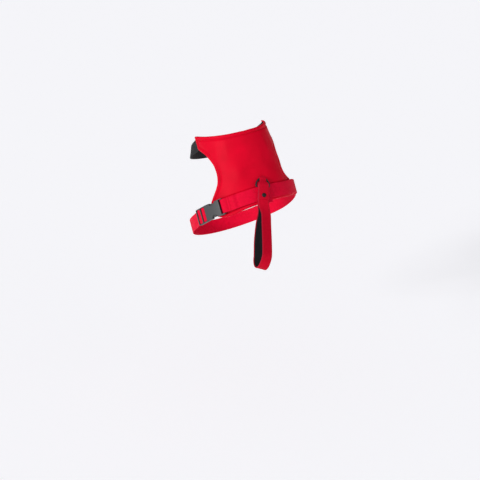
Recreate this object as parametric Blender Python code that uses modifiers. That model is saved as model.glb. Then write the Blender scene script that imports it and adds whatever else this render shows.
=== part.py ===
# Dog harness with a short hand loop, in the form it has when worn by a sitting dog.
# Metres, +Z up. The origin is the point of the wearer's back under the middle of the girth strap.
# The wearer's frame: X to the wearer's right, SPINE towards the head, BACK out of the back.
# A place on the figure is (arc, s, h): arc is the distance round the body from the spine, to the right,
# s the distance along the spine towards the head, and h the height above the figure.

import math

import bmesh
import bpy
import numpy as np
from mathutils import Matrix, Vector

MM = 0.001

# Pose of the wearer
PITCH = math.radians(53)
LEAN = math.radians(4)

# General figure: elliptical sections, from the girth to the neck
GIRTH_HALF_WIDTH = 95 * MM
GIRTH_HALF_DEPTH = 111 * MM
NECK_HALF_WIDTH = 66 * MM
NECK_HALF_DEPTH = 64 * MM
NECK_RISE = 6 * MM
TAPER_START = 20 * MM
TAPER_LENGTH = 105 * MM
WAIST_DIP = 2 * MM
WAIST_SPAN = 90 * MM

# Cloth and hardware sizes
SEAM_GAP = 0.3 * MM
PANEL_THICK = 3.0 * MM
PANEL_FIELD = 0.90
PANEL_GROOVE = 0.72
PANEL_EDGE = 0.55
WEBBING_WIDTH = 25 * MM
WEBBING_THICK = 1.6 * MM
TAB_THICK = 1.2 * MM
WIRE_RADIUS = 1.5 * MM
LEASH_WIDTH = 19 * MM
LEASH_THICK = 1.4 * MM
LINING_WIDTH = 17 * MM
LINING_THICK = 1.0 * MM

# Heights above the figure, from the panel outwards
ON_PANEL = PANEL_THICK + SEAM_GAP
STRAP_MID = ON_PANEL + WEBBING_THICK / 2
STRAP_TOP = ON_PANEL + WEBBING_THICK
ON_STRAP = STRAP_TOP + SEAM_GAP
BARE_MID = SEAM_GAP + WEBBING_THICK / 2

# Outline of the back panel laid flat: (arc, s) in millimetres. It is worn pulled a little to one side, so the
# right armhole comes further in than the left one.
ARMHOLE_LEFT = [(-95.5, -8), (-97.8, 2), (-96.8, 14.4), (-91.6, 20.7), (-83.6, 28.7), (-77.2, 35.8),
                (-72.4, 43.4), (-69.3, 55), (-69.2, 66), (-71, 77), (-76.8, 90.2), (-84.1, 101.2), (-98.5, 114.6)]
ARMHOLE_RIGHT = [(95.5, -5), (98.4, 4), (98.6, 13), (95.5, 18.8), (88, 21), (80, 23.2), (73, 26.8), (68, 32),
                 (66.2, 39), (67.2, 47), (68.9, 56), (69.2, 66), (71, 77), (76.8, 90.2), (84.1, 101.2), (98.5, 114.6)]
SHOULDER_ENDS = [(-97, 139), (97, 139)]
NECKLINE_HALF = [(-97, 139), (-87, 135.8), (-70, 129), (-48, 121.8), (-25, 117), (0, 115.2)]
# The bottom edge shows below the strap, less and less towards the right
BOTTOM = [(-95.5, -8), (-91, -13), (-83.5, -16.8), (-73, -19.4), (-62, -20.2), (-48, -19.2), (-34, -18.2),
          (-18, -17.4), (0, -16.2), (20, -15.8), (45, -15.2), (60, -14), (75, -11.4), (86, -8.4), (95.5, -5)]

# Distances from an edge at which the panel has a row or column, in millimetres, and the share of the wall there:
# rolled hem, stitched groove, plain field
HEM_STEPS = [0, 1.2, 3.4, 5.8, 7.0, 8.4, 11.5]
HEM_SHARES = [PANEL_EDGE, 0.86, 1.0, 0.88, PANEL_GROOVE, 0.86, PANEL_FIELD]
PANEL_HEIGHT = 135
PANEL_COLUMNS = 15
PANEL_ROWS = 11
ROW_CLEARANCE = 0.012

# The girth strap runs a little nearer the head on the right side: how far, and from which to which arc
STRAP_LIFT = 5 * MM
STRAP_STANDS_OFF = 3 * MM  # of its upper edge, where the strap is lifted
LIFT_FROM, LIFT_REACHED = 40 * MM, 95 * MM
LIFT_KEPT, LIFT_GONE = 110 * MM, 210 * MM

# The buckle on the left side: places along the strap as arcs, heights above its base
BUCKLE_RIGHT = -70.9 * MM
BUCKLE_SEAM = -108.0 * MM
BUCKLE_BASE = ON_PANEL + 0.2 * MM
BUCKLE_THICK = 7.4 * MM
BUCKLE_HALF_WIDTH = 14.4 * MM
BUCKLE_SEAM_HALF_WIDTH = 14.2 * MM
BUCKLE_BEVEL = 0.9 * MM
END_BAR = 2.4 * MM
END_SLOT = 4.2 * MM
SLOT_HALF_WIDTH = 12.9 * MM
BAR_MID = 3.4 * MM
NOTCH_ARC = -91.4 * MM
NOTCH_HALF_LENGTH = 5.5 * MM
NOTCH_DEPTH = 5.2 * MM
MOUTH_HALF_WIDTH = 11.8 * MM
MOUTH_END = -87.5 * MM
MOUTH_LOW = 1.6 * MM
MOUTH_HIGH = 5.8 * MM
PRONG_LOW = 2.0 * MM
PRONG_HIGH = 5.4 * MM
PRONG_INNER = 7.4 * MM
PRONG_OUTER = 10.4 * MM
BARB_OUTER = 12.6 * MM
PRONG_END = -88.5 * MM
GUIDE_HALF_WIDTH = 2.2 * MM
GUIDE_END = -93.0 * MM
FRAME_WALL = 1.6 * MM
LADDER_SLOT = 9.6 * MM
LADDER_BAR = 2.0 * MM
FRAME_LOW = 0.4 * MM
FRAME_HIGH = 5.8 * MM
LADDER_BAR_THICK = 1.9 * MM
BEND_STEP = 4.0 * MM

# The D ring and its tab; the ring is turned in its plane, in line with the leash
RING_BAR_ARC = 0.0 * MM
RING_BAR_S = 10.5 * MM
RING_TURN = math.radians(18)
RING_HALF_WIDTH = 11.2 * MM
RING_LENGTH = 15.5 * MM
RING_CORNER = 1.6 * MM
RING_BAR_H = ON_STRAP + TAB_THICK + SEAM_GAP + WIRE_RADIUS
RING_BOW_H = ON_PANEL + LEASH_THICK + 0.4 * MM + WIRE_RADIUS
TAB_WIDTH = 18 * MM
TAB_LENGTH = 30.5 * MM
TAB_STRAIGHT_FROM = 16 * MM

# The leash: its stem crosses the strap at a slant, then it hangs
STEM_TOP_S = 29.0 * MM
STEM_TOP_ARC = 5.6 * MM
STEM_SLANT = math.radians(17)
STEM_LENGTH = 50.0 * MM
HANG_SLOPE = math.radians(50)
HANG_AZIMUTH = math.radians(-116.5)
HANG_DRIFT = 0.13
HANG_TWIST = math.radians(29)
HANG_BLEND = 25.0 * MM
HANG_LENGTH = 135.0 * MM
LOOP_BEND = 147.0 * MM
LOOP_BEND_LENGTH = 22.0 * MM
BACK_ROUND = 84 * MM
BOW_RUN = 3.8 * MM
BOW_STRETCH = 1.25
GATHERED = 0.66
GATHER_END = 18.0 * MM
ARCH_END = 14.0 * MM

# Centrelines of the leash strip as (run from its top, height), in millimetres
FLAP = [(44, 15.0), (39, 15.0), (33, 14.9), (27, 14.6), (21.5, 14.3), (17, 14.0), (13, 12.6), (9.5, 10.8), (7, 9.8)]
BACK_LEG = [(8.4, 4.2), (11.5, 6.8), (14.5, 10.4), (17.5, 12.3), (21.5, 12.3), (26, 11.4), (30, 10.7), (34, 10.2),
            (40, 9.2), (50, 8.9), (62, 5.2), (80, 0.6), (100, 0.4), (120, 2.4), (136, 6.0), (147, 8.4)]
FRONT_LEG = [(147, 39.2), (136, 36.6), (120, 31.8), (100, 25.4), (80, 19.2), (62, 14.9), (50, 13.6), (42, 13.3),
             (34, 13.1)]
LINING_START = 38.0
SNAP_RUN = 37.0 * MM
SNAP_RADIUS = 3.8 * MM
SNAP_HEIGHT = 1.8 * MM

# The neck strap, under the shoulder ends and round the front
NECK_STRAP_S = 124.5 * MM
NECK_STRAP_WIDTH = 20 * MM
NECK_STRAP_START = 88 * MM
NECK_FRONT_DEPTH = 88 * MM
NECK_FRONT_SPREAD = 15 * MM
NECK_TILT = math.radians(32)
NECK_FREE_START = math.radians(16)
NECK_FREE_SPAN = math.radians(45)

RED = (0.72, 0.008, 0.028, 1.0)
RED_WEBBING = (0.66, 0.012, 0.042, 1.0)
BLACK = (0.012, 0.012, 0.014, 1.0)


def new_collection(name):
    made = bpy.data.collections.new(name)
    bpy.context.scene.collection.children.link(made)
    return made


def make_material(name, colour, roughness, metallic=0.0):
    material = bpy.data.materials.new(name)
    material.use_nodes = True
    shader = material.node_tree.nodes["Principled BSDF"]
    shader.inputs["Base Color"].default_value = colour
    shader.inputs["Roughness"].default_value = roughness
    shader.inputs["Metallic"].default_value = metallic
    return material


def smooth(t):
    t = min(max(t, 0.0), 1.0)
    return t * t * (3 - 2 * t)


# The wearer's axes in the world
LEAN_TURN = Matrix.Rotation(-LEAN, 3, "Y")
RIGHT = LEAN_TURN @ Vector((1, 0, 0))
SPINE = LEAN_TURN @ Vector((0, math.cos(PITCH), math.sin(PITCH)))
BACK = LEAN_TURN @ Vector((0, -math.sin(PITCH), math.cos(PITCH)))


def section(s):
    """Half width, half depth and centre of the figure at s, measured out of the back from the origin."""
    taper = smooth((s - TAPER_START) / TAPER_LENGTH)
    dip = WAIST_DIP * math.sin(math.pi * min(max(s / WAIST_SPAN, -0.35), 1))
    half_width = GIRTH_HALF_WIDTH + (NECK_HALF_WIDTH - GIRTH_HALF_WIDTH) * taper - dip
    half_depth = GIRTH_HALF_DEPTH + (NECK_HALF_DEPTH - GIRTH_HALF_DEPTH) * taper
    top = NECK_RISE * smooth(s / (TAPER_START + TAPER_LENGTH))
    return half_width, half_depth, top - half_depth


TURNS = np.linspace(0, 2 * math.pi, 721)


def angle_at(arc, s):
    """The angle round the section at which the distance from the spine is arc."""
    a, b, _ = section(s)
    speed = np.sqrt((a * np.cos(TURNS)) ** 2 + (b * np.sin(TURNS)) ** 2)
    lengths = np.concatenate([[0], np.cumsum((speed[1:] + speed[:-1]) / 2 * np.diff(TURNS))])
    return math.copysign(float(np.interp(abs(arc), lengths, TURNS)), arc)


def girth_length():
    a, b, _ = section(0)
    speed = np.sqrt((a * np.cos(TURNS)) ** 2 + (b * np.sin(TURNS)) ** 2)
    return float(np.sum((speed[1:] + speed[:-1]) / 2 * np.diff(TURNS)))


def skin(angle, s):
    a, b, centre = section(s)
    return Vector((a * math.sin(angle), s, centre + b * math.cos(angle)))


def frame_at(angle, s):
    """A point of the figure and its outward normal, in the wearer's axes."""
    step = 0.0005
    point = skin(angle, s)
    round_body = skin(angle + step, s) - skin(angle - step, s)
    along = skin(angle, s + step) - skin(angle, s - step)
    return point, round_body.cross(along).normalized()


def to_world(v):
    return RIGHT * v.x + SPINE * v.y + BACK * v.z


def place(arc, s, h):
    point, normal = frame_at(angle_at(arc, s), s)
    return to_world(point + normal * h)


def place_on_girth(arc, s, h):
    """As place, for what follows the girth strap: arc and s are measured along and across the strap."""
    rise = smooth((arc - LIFT_FROM) / (LIFT_REACHED - LIFT_FROM))
    fall = smooth((arc - LIFT_KEPT) / (LIFT_GONE - LIFT_KEPT))
    off = STRAP_STANDS_OFF * (rise - fall) * (0.5 + s / WEBBING_WIDTH)
    point, normal = frame_at(angle_at(arc, 0), s + STRAP_LIFT * (rise - fall))
    return to_world(point + normal * (h + off))


def curve_through(points, per_span):
    """A smooth curve through 2-D or 3-D points, with even steps in each span."""
    pts = [Vector(p) for p in points]
    ends = [pts[0] * 2 - pts[1]] + pts + [pts[-1] * 2 - pts[-2]]
    made = []
    for i in range(1, len(ends) - 2):
        p0, p1, p2, p3 = ends[i - 1:i + 3]
        for k in range(per_span):
            t = k / per_span
            made.append(0.5 * (2 * p1 + (p2 - p0) * t + (2 * p0 - 5 * p1 + 4 * p2 - p3) * t * t
                               + (3 * p1 - p0 - 3 * p2 + p3) * t ** 3))
    made.append(pts[-1])
    return made


def resampled(points, count):
    """The same curve with count points at even distances."""
    lengths = [0.0]
    for a, b in zip(points, points[1:]):
        lengths.append(lengths[-1] + (b - a).length)
    wanted = np.linspace(0, lengths[-1], count)
    axes = [np.interp(wanted, lengths, [p[i] for p in points]) for i in range(len(points[0]))]
    return [Vector(values) for values in zip(*axes)]


def add_grid(name, rows, material, parts):
    """An open sheet through rows of points, each row from left to right."""
    across = len(rows[0])
    points = [p for row in rows for p in row]
    faces = [(i * across + j, i * across + j + 1, (i + 1) * across + j + 1, (i + 1) * across + j)
             for i in range(len(rows) - 1) for j in range(across - 1)]
    mesh = bpy.data.meshes.new(name)
    mesh.from_pydata(points, [], faces)
    mesh.update()
    mesh.shade_smooth()
    mesh.materials.append(material)
    made = bpy.data.objects.new(name, mesh)
    parts.objects.link(made)
    return made


def thicken(sheet, thickness, offset):
    solid = sheet.modifiers.new("wall", "SOLIDIFY")
    solid.thickness = thickness
    solid.offset = offset
    solid.use_even_offset = True
    return solid


def side_points():
    """The four sides of the flat panel, the armholes with points at even distances."""
    left, right = [resampled(curve_through(table, 6), 2 * PANEL_ROWS) for table in (ARMHOLE_LEFT, ARMHOLE_RIGHT)]
    bottom = curve_through(BOTTOM, 6)
    neck = curve_through(NECKLINE_HALF, 6)
    neck = neck + [Vector((-p.x, p.y)) for p in reversed(neck[:-1])]
    return left, right, bottom, neck


def panel_params(length, hem, middle):
    """Positions from 0 to 1 along a side: close together in both hems, even between."""
    near = [d / length for d in hem]
    inner = np.linspace(near[-1], 1 - near[-1], middle + 2)[1:-1]
    return near + list(inner) + [1 - t for t in reversed(near)]


def along(points, t):
    lengths = np.concatenate([[0], np.cumsum([(b - a).length for a, b in zip(points, points[1:])])])
    wanted = t * lengths[-1]
    return Vector([float(np.interp(wanted, lengths, [p[i] for p in points])) for i in (0, 1)])


def panel_side(t, points, end, corner):
    """The armhole up to the shoulder, then straight up the shoulder's end."""
    split = 1 - corner
    if t <= split:
        return along(points, t / split)
    return points[-1].lerp(end, (t - split) / corner)


def edge_distance(p, outline):
    nearest = 1e9
    for a, b in zip(outline, outline[1:] + outline[:1]):
        d = b - a
        t = min(max((p - a).dot(d) / max(d.length_squared, 1e-12), 0), 1)
        nearest = min(nearest, (p - a - d * t).length)
    return nearest


def make_panel(material, parts):
    left, right, bottom, neck = side_points()
    end_left, end_right = [Vector(end) for end in SHOULDER_ENDS]
    armhole_length = sum((b - a).length for a, b in zip(left, left[1:]))
    end_length = (end_left - left[-1]).length
    corner = end_length / (armhole_length + end_length)
    ups = panel_params(PANEL_HEIGHT, HEM_STEPS, PANEL_ROWS)
    ups = sorted([v for v in ups if abs(v - 1 + corner) > ROW_CLEARANCE] + [1 - corner])
    corners = [bottom[0], bottom[-1], neck[0], neck[-1]]
    outline = bottom + right + list(reversed(neck)) + list(reversed(left))
    rows, shares = [], []
    for v in ups:
        from_left = panel_side(v, left, end_left, corner)
        from_right = panel_side(v, right, end_right, corner)
        row = []
        for u in panel_params((from_right - from_left).length, HEM_STEPS, PANEL_COLUMNS):
            sides = from_left.lerp(from_right, u)
            ends = along(bottom, u).lerp(along(neck, u), v)
            blend = corners[0].lerp(corners[1], u).lerp(corners[2].lerp(corners[3], u), v)
            flat = sides + ends - blend
            row.append(place(flat.x * MM, flat.y * MM, 0))
            shares.append(float(np.interp(edge_distance(flat, outline), HEM_STEPS, HEM_SHARES)))
        rows.append(row)
    panel = add_grid("back_panel", rows, material, parts)
    group = panel.vertex_groups.new(name="hem")
    for index, share in enumerate(shares):
        group.add([index], share, "REPLACE")
    wall = thicken(panel, PANEL_THICK, 1)
    wall.vertex_group = "hem"
    return panel


def frame_end():
    """Arc of the male half's outer end."""
    return BUCKLE_SEAM - SEAM_GAP - FRAME_WALL - 2 * (LADDER_SLOT + LADDER_BAR)


def girth_route():
    """Centreline of the girth strap as (arc, h): tail, turn round the end bar, top layer, belly, ladder, tail."""
    bar_arc = BUCKLE_RIGHT - END_BAR / 2
    bar_h = BUCKLE_BASE + BAR_MID
    turn_r = END_BAR * 0.71 + SEAM_GAP + WEBBING_THICK / 2
    second = STRAP_MID + WEBBING_THICK + SEAM_GAP
    tail = [(-53 * MM, STRAP_MID), (-58.5 * MM, STRAP_MID), (-64 * MM, STRAP_MID)]
    turn = [(bar_arc - turn_r * math.sin(a), bar_h - turn_r * math.cos(a)) for a in np.linspace(0, math.pi, 9)]
    top = [(bar_arc + 3 * MM, bar_h + turn_r - 0.5 * MM), (-66 * MM, second + 2.0 * MM),
           (-60 * MM, second + 0.1 * MM), (-56 * MM, second), (-52.2 * MM, second), (-47.6 * MM, STRAP_MID)]
    over_panel = [(a * MM, STRAP_MID) for a in range(-42, 103, 8)]
    step_down = [(108 * MM, BARE_MID + 1.4 * MM), (116 * MM, BARE_MID)]
    end = girth_length() + frame_end()
    belly = [(a, BARE_MID) for a in np.linspace(128 * MM, end - 22 * MM, 40)]
    low = BUCKLE_BASE + FRAME_HIGH - LADDER_BAR_THICK - SEAM_GAP - WEBBING_THICK / 2
    high = low + LADDER_BAR_THICK
    bar = end + LADDER_BAR / 2
    weave = [(end - 10 * MM, BARE_MID + 2.2 * MM), (end - 3 * MM, low - 0.8 * MM)]
    for k in range(2):
        slot = bar + LADDER_BAR / 2 + LADDER_SLOT / 2
        under = LADDER_BAR / 2 + 0.5 * MM
        weave += [(bar - under, low), (bar + under, low), (slot - 2.2 * MM, high), (slot + 2.2 * MM, high)]
        bar += LADDER_BAR + LADDER_SLOT
    fold = bar - LADDER_BAR / 2 - WEBBING_THICK / 2 - SEAM_GAP
    weave += [(fold - 0.4 * MM, low + 0.2 * MM), (fold - 0.2 * MM, low - 1.0 * MM),
              (fold - 2.4 * MM, low - 2.5 * MM), (fold - 8 * MM, low - 2.8 * MM), (fold - 14 * MM, low - 3.0 * MM)]
    return tail + turn + top + over_panel + step_down + belly + weave


def make_girth_strap(material, parts):
    across = [-WEBBING_WIDTH / 2, 0, WEBBING_WIDTH / 2]
    rows = [[place_on_girth(arc, s, h) for s in across] for arc, h in girth_route()]
    strap = add_grid("girth_strap", rows, material, parts)
    thicken(strap, WEBBING_THICK, 0)
    return strap


def box(name, low, high, cutters):
    mesh = bpy.data.meshes.new(name)
    shape = bmesh.new()
    bmesh.ops.create_cube(shape, size=1)
    for vert in shape.verts:
        vert.co = Vector(low[i] + (vert.co[i] + 0.5) * (high[i] - low[i]) for i in range(3))
    shape.to_mesh(mesh)
    shape.free()
    made = bpy.data.objects.new(name, mesh)
    made.hide_render = True
    made.display_type = "WIRE"
    cutters.objects.link(made)
    return made


def plate(name, outlines, low, high, cutters):
    """A flat plate with the given outlines in (arc, s), between two heights."""
    curve = bpy.data.curves.new(name, "CURVE")
    curve.dimensions = "2D"
    curve.fill_mode = "BOTH"
    curve.extrude = (high - low) / 2
    for outline in outlines:
        spline = curve.splines.new("POLY")
        spline.points.add(len(outline) - 1)
        spline.use_cyclic_u = True
        for slot, (arc, s) in zip(spline.points, outline):
            slot.co = (arc, s, 0, 1)
    drawn = bpy.data.objects.new(name, curve)
    cutters.objects.link(drawn)
    drawn.location.z = (low + high) / 2
    bpy.context.view_layer.update()
    mesh = bpy.data.meshes.new_from_object(drawn.evaluated_get(bpy.context.evaluated_depsgraph_get()))
    made = bpy.data.objects.new(name, mesh)
    made.matrix_world = drawn.matrix_world
    bpy.data.objects.remove(drawn, do_unlink=True)
    shape = bmesh.new()
    shape.from_mesh(mesh)
    bmesh.ops.remove_doubles(shape, verts=shape.verts, dist=1e-5)
    shape.to_mesh(mesh)
    shape.free()
    made.hide_render = True
    made.display_type = "WIRE"
    cutters.objects.link(made)
    return made


def combine(base, other, operation):
    joint = base.modifiers.new(other.name, "BOOLEAN")
    joint.operation = operation
    joint.object = other
    joint.solver = "EXACT"


def bend_on_body(base, name, material, parts):
    """The flat shape, cut across every few millimetres and laid round the figure."""
    bpy.context.view_layer.update()
    mesh = bpy.data.meshes.new_from_object(base.evaluated_get(bpy.context.evaluated_depsgraph_get()))
    mesh.transform(base.matrix_world)
    shape = bmesh.new()
    shape.from_mesh(mesh)
    arcs = [v.co.x for v in shape.verts]
    cuts = max(1, round((max(arcs) - min(arcs)) / BEND_STEP))
    for arc in np.linspace(min(arcs), max(arcs), cuts + 1)[1:-1]:
        geometry = shape.verts[:] + shape.edges[:] + shape.faces[:]
        bmesh.ops.bisect_plane(shape, geom=geometry, plane_co=(arc, 0, 0), plane_no=(1, 0, 0), dist=1e-6)
    bmesh.ops.triangulate(shape, faces=shape.faces)
    bmesh.ops.dissolve_degenerate(shape, dist=2e-5, edges=shape.edges)
    for vert in shape.verts:
        vert.co = place_on_girth(*vert.co)
    bmesh.ops.recalc_face_normals(shape, faces=shape.faces)
    shape.to_mesh(mesh)
    shape.free()
    mesh.shade_smooth()
    mesh.set_sharp_from_angle(angle=math.radians(35))
    mesh.materials.clear()
    mesh.materials.append(material)
    made = bpy.data.objects.new(name, mesh)
    parts.objects.link(made)
    return made


def female_outline():
    """One side from the seam to the end, with the release notch, then the other side back."""
    side = [(BUCKLE_SEAM, BUCKLE_SEAM_HALF_WIDTH - 0.8 * MM), (BUCKLE_SEAM + 0.8 * MM, BUCKLE_SEAM_HALF_WIDTH)]
    for a in np.linspace(0, math.pi, 11):
        side.append((NOTCH_ARC - NOTCH_HALF_LENGTH * math.cos(a),
                     BUCKLE_HALF_WIDTH - 0.4 * MM - NOTCH_DEPTH * math.sin(a)))
    side += [(BUCKLE_RIGHT - 1.2 * MM, BUCKLE_HALF_WIDTH), (BUCKLE_RIGHT, BUCKLE_HALF_WIDTH - 1.2 * MM)]
    return side + [(arc, -s) for arc, s in reversed(side)]


def make_buckle_female(material, parts, cutters):
    low, high = BUCKLE_BASE, BUCKLE_BASE + BUCKLE_THICK
    body = plate("female_body", [female_outline()], low, high, cutters)
    bevel = body.modifiers.new("edges", "BEVEL")
    bevel.width = BUCKLE_BEVEL
    bevel.segments = 2
    bevel.limit_method = "ANGLE"
    bevel.angle_limit = math.radians(60)
    slot_end = BUCKLE_RIGHT - END_BAR
    slot = box("end_slot", (slot_end - END_SLOT, -SLOT_HALF_WIDTH, low - MM),
               (slot_end, SLOT_HALF_WIDTH, high + MM), cutters)
    combine(body, slot, "DIFFERENCE")
    bar_low, bar_high = low + BAR_MID - END_BAR / 2, low + BAR_MID + END_BAR / 2
    above = box("above_bar", (slot_end - MM, -SLOT_HALF_WIDTH, bar_high),
                (BUCKLE_RIGHT + MM, SLOT_HALF_WIDTH, high + MM), cutters)
    below = box("below_bar", (slot_end - MM, -SLOT_HALF_WIDTH, low - MM),
                (BUCKLE_RIGHT + MM, SLOT_HALF_WIDTH, bar_low), cutters)
    mouth = box("mouth", (BUCKLE_SEAM - MM, -MOUTH_HALF_WIDTH, low + MOUTH_LOW),
                (MOUTH_END, MOUTH_HALF_WIDTH, low + MOUTH_HIGH), cutters)
    for cutter in (above, below, mouth):
        combine(body, cutter, "DIFFERENCE")
    return bend_on_body(body, "buckle_female", material, parts)


def frame_outline():
    """The male half's frame, from its outer end to the seam."""
    face = BUCKLE_SEAM - SEAM_GAP
    side = [(frame_end(), BUCKLE_SEAM_HALF_WIDTH - 1.5 * MM), (frame_end() + 1.5 * MM, BUCKLE_SEAM_HALF_WIDTH),
            (face, BUCKLE_SEAM_HALF_WIDTH)]
    return side + [(arc, -s) for arc, s in reversed(side)]


def prongs_outline():
    """Both prongs, with their barbs in the release notches, and the guide between them."""
    face = BUCKLE_SEAM - SEAM_GAP
    barb = NOTCH_ARC - 1.0 * MM
    root = face + 1.5 * MM
    side = [(face - FRAME_WALL / 2, PRONG_OUTER), (barb - 4 * MM, PRONG_OUTER - 0.4 * MM), (barb, BARB_OUTER),
            (barb + 3.4 * MM, BARB_OUTER - 0.8 * MM), (PRONG_END, PRONG_INNER + 1.0 * MM), (PRONG_END, PRONG_INNER),
            (root, PRONG_INNER), (root, GUIDE_HALF_WIDTH), (GUIDE_END, GUIDE_HALF_WIDTH)]
    return side + [(arc, -s) for arc, s in reversed(side)]


def make_buckle_male(material, parts, cutters):
    base = BUCKLE_BASE
    inner_face = BUCKLE_SEAM - SEAM_GAP - FRAME_WALL
    body = plate("male_frame", [frame_outline()], base + FRAME_LOW, base + FRAME_HIGH, cutters)
    prongs = plate("male_prongs", [prongs_outline()], base + PRONG_LOW, base + PRONG_HIGH, cutters)
    combine(body, prongs, "UNION")
    slot = inner_face
    for k in range(2):
        cutter = box(f"ladder_slot_{k}", (slot - LADDER_SLOT, -SLOT_HALF_WIDTH, base - MM),
                     (slot, SLOT_HALF_WIDTH, base + BUCKLE_THICK), cutters)
        combine(body, cutter, "DIFFERENCE")
        slot -= LADDER_SLOT + LADDER_BAR
    channel = box("ladder_channel", (frame_end() - MM, -SLOT_HALF_WIDTH, base - MM),
                  (inner_face - MM, SLOT_HALF_WIDTH, base + FRAME_HIGH - LADDER_BAR_THICK), cutters)
    combine(body, channel, "DIFFERENCE")
    return bend_on_body(body, "buckle_male", material, parts)


def ring_place(across, up, h, turn=RING_TURN):
    """A place given across the ring's bar and up from it, in the ring's turned plane."""
    arc = RING_BAR_ARC + across * math.cos(turn) + up * math.sin(RING_TURN if up > 0 else 0)
    s = RING_BAR_S - across * math.sin(turn) + up * (math.cos(RING_TURN) if up > 0 else 1)
    return place(arc, s, h)


def bow_height(across):
    """How far above the bar the ring's wire is at a distance across from its middle."""
    return RING_CORNER + (RING_LENGTH - RING_CORNER) * math.sqrt(max(1 - (across / RING_HALF_WIDTH) ** 2, 0))


def ring_points():
    """Centreline of the D ring as (across, up)."""
    corner_steps, bow_steps = 3, 28
    made = [(across, 0.0) for across in np.linspace(-1, 1, 5) * (RING_HALF_WIDTH - RING_CORNER)]
    for k in range(1, corner_steps):
        a = math.pi / 2 * k / corner_steps
        made.append((RING_HALF_WIDTH - RING_CORNER + RING_CORNER * math.sin(a), RING_CORNER * (1 - math.cos(a))))
    for k in range(bow_steps + 1):
        across = RING_HALF_WIDTH * math.cos(math.pi * k / bow_steps)
        made.append((across, bow_height(across)))
    for k in range(corner_steps - 1, 0, -1):
        a = math.pi / 2 * k / corner_steps
        made.append((-RING_HALF_WIDTH + RING_CORNER - RING_CORNER * math.sin(a), RING_CORNER * (1 - math.cos(a))))
    return made


def make_d_ring(material, parts):
    curve = bpy.data.curves.new("d_ring", "CURVE")
    curve.dimensions = "3D"
    curve.bevel_depth = WIRE_RADIUS
    curve.bevel_resolution = 2
    points = ring_points()
    spline = curve.splines.new("POLY")
    spline.points.add(len(points) - 1)
    spline.use_cyclic_u = True
    for slot, (across, up) in zip(spline.points, points):
        height = RING_BAR_H + (RING_BOW_H - RING_BAR_H) * up / RING_LENGTH
        slot.co = (*ring_place(across, up, height), 1.0)
    curve.materials.append(material)
    ring = bpy.data.objects.new("d_ring", curve)
    parts.objects.link(ring)
    return ring


def make_tab(material, parts):
    """Short webbing folded round the ring's bar, both ends sewn to the strap."""
    under = ON_STRAP + TAB_THICK / 2
    over = under + TAB_THICK + SEAM_GAP
    turn_r = WIRE_RADIUS + SEAM_GAP + TAB_THICK / 2
    ends = [-TAB_LENGTH, -24.5 * MM, -18.5 * MM]
    route = [(up, under) for up in ends + [-12.5 * MM, -6 * MM]] + [(0, RING_BAR_H - turn_r)]
    for k in range(1, 8):
        a = -math.pi / 2 + math.pi * k / 8
        route.append((turn_r * math.cos(a), RING_BAR_H + turn_r * math.sin(a)))
    route += [(0, RING_BAR_H + turn_r), (-3 * MM, RING_BAR_H + turn_r - 1.0 * MM), (-8 * MM, over + 0.4 * MM)]
    route += [(up, over) for up in [-12.5 * MM] + ends[::-1]]
    half = TAB_WIDTH / 2
    rows = []
    for up, h in route:
        turn = RING_TURN * (1 - smooth(-up / TAB_STRAIGHT_FROM))
        rows.append([ring_place(across, up, h, turn) for across in (-half, -half / 2, 0, half / 2, half)])
    tab = add_grid("d_ring_tab", rows, material, parts)
    thicken(tab, TAB_THICK, 0)
    return tab


def leash_frames():
    """Base point, outward direction and width direction at each millimetre along the leash."""
    frames = []
    stem_steps = int(STEM_LENGTH / MM)
    for k in range(stem_steps + 1):
        run = k * MM
        s = STEM_TOP_S - run * math.cos(STEM_SLANT)
        point, normal = frame_at(angle_at(STEM_TOP_ARC - run * math.sin(STEM_SLANT), s), s)
        frames.append((to_world(point), to_world(normal)))
    down = (frames[-1][0] - frames[-2][0]).normalized()
    stem_normal = frames[-1][1]
    level = Vector((math.cos(HANG_AZIMUTH), math.sin(HANG_AZIMUTH), 0))
    aside = Vector((level.y, -level.x, 0)) * HANG_DRIFT
    hang = (level * math.cos(HANG_SLOPE) + aside - Vector((0, 0, 1)) * math.sin(HANG_SLOPE)).normalized()
    face = level * math.sin(HANG_SLOPE) + Vector((0, 0, 1)) * math.cos(HANG_SLOPE)
    hang_normal = face * math.cos(HANG_TWIST) - hang.cross(face) * math.sin(HANG_TWIST)
    point = frames[-1][0]
    for k in range(int(HANG_LENGTH / MM)):
        share = smooth(k * MM / HANG_BLEND)
        point = point + down.lerp(hang, share).normalized() * MM
        frames.append((point.copy(), stem_normal.lerp(hang_normal, share).normalized()))
    made = []
    for k, (point, normal) in enumerate(frames):
        ahead = frames[min(k + 1, len(frames) - 1)][0] - frames[max(k - 1, 0)][0]
        width = normal.cross(ahead).normalized()
        made.append((point, ahead.cross(width).normalized(), width))
    return made


def leash_rows(frames, path, width):
    """Rows of five points across the strip. At the ring it is gathered and follows the round of the bow, and on
    the stem it follows the round of the back."""
    rows = []
    for run, h in path:
        low = min(max(int(math.floor(run)), 0), len(frames) - 2)
        share = run - low
        point = frames[low][0].lerp(frames[low + 1][0], share)
        normal = frames[low][1].lerp(frames[low + 1][1], share).normalized()
        side = frames[low][2].lerp(frames[low + 1][2], share).normalized()
        ahead = side.cross(normal)
        droop = 1 - smooth((run * MM - STEM_LENGTH) / (30 * MM))
        gathered = 1 - smooth((run * MM - 6 * MM) / (GATHER_END - 6 * MM))
        arch = 1 - smooth((run * MM - 8 * MM) / (ARCH_END - 8 * MM))
        half = width / 2 * (1 - (1 - GATHERED) * gathered)
        row = []
        for x in np.linspace(-half, half, 5):
            behind = (RING_LENGTH - bow_height(x)) * arch
            row.append(point + side * x + ahead * behind + normal * (h * MM - droop * x * x / (2 * BACK_ROUND)))
        rows.append(row)
    return rows


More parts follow.
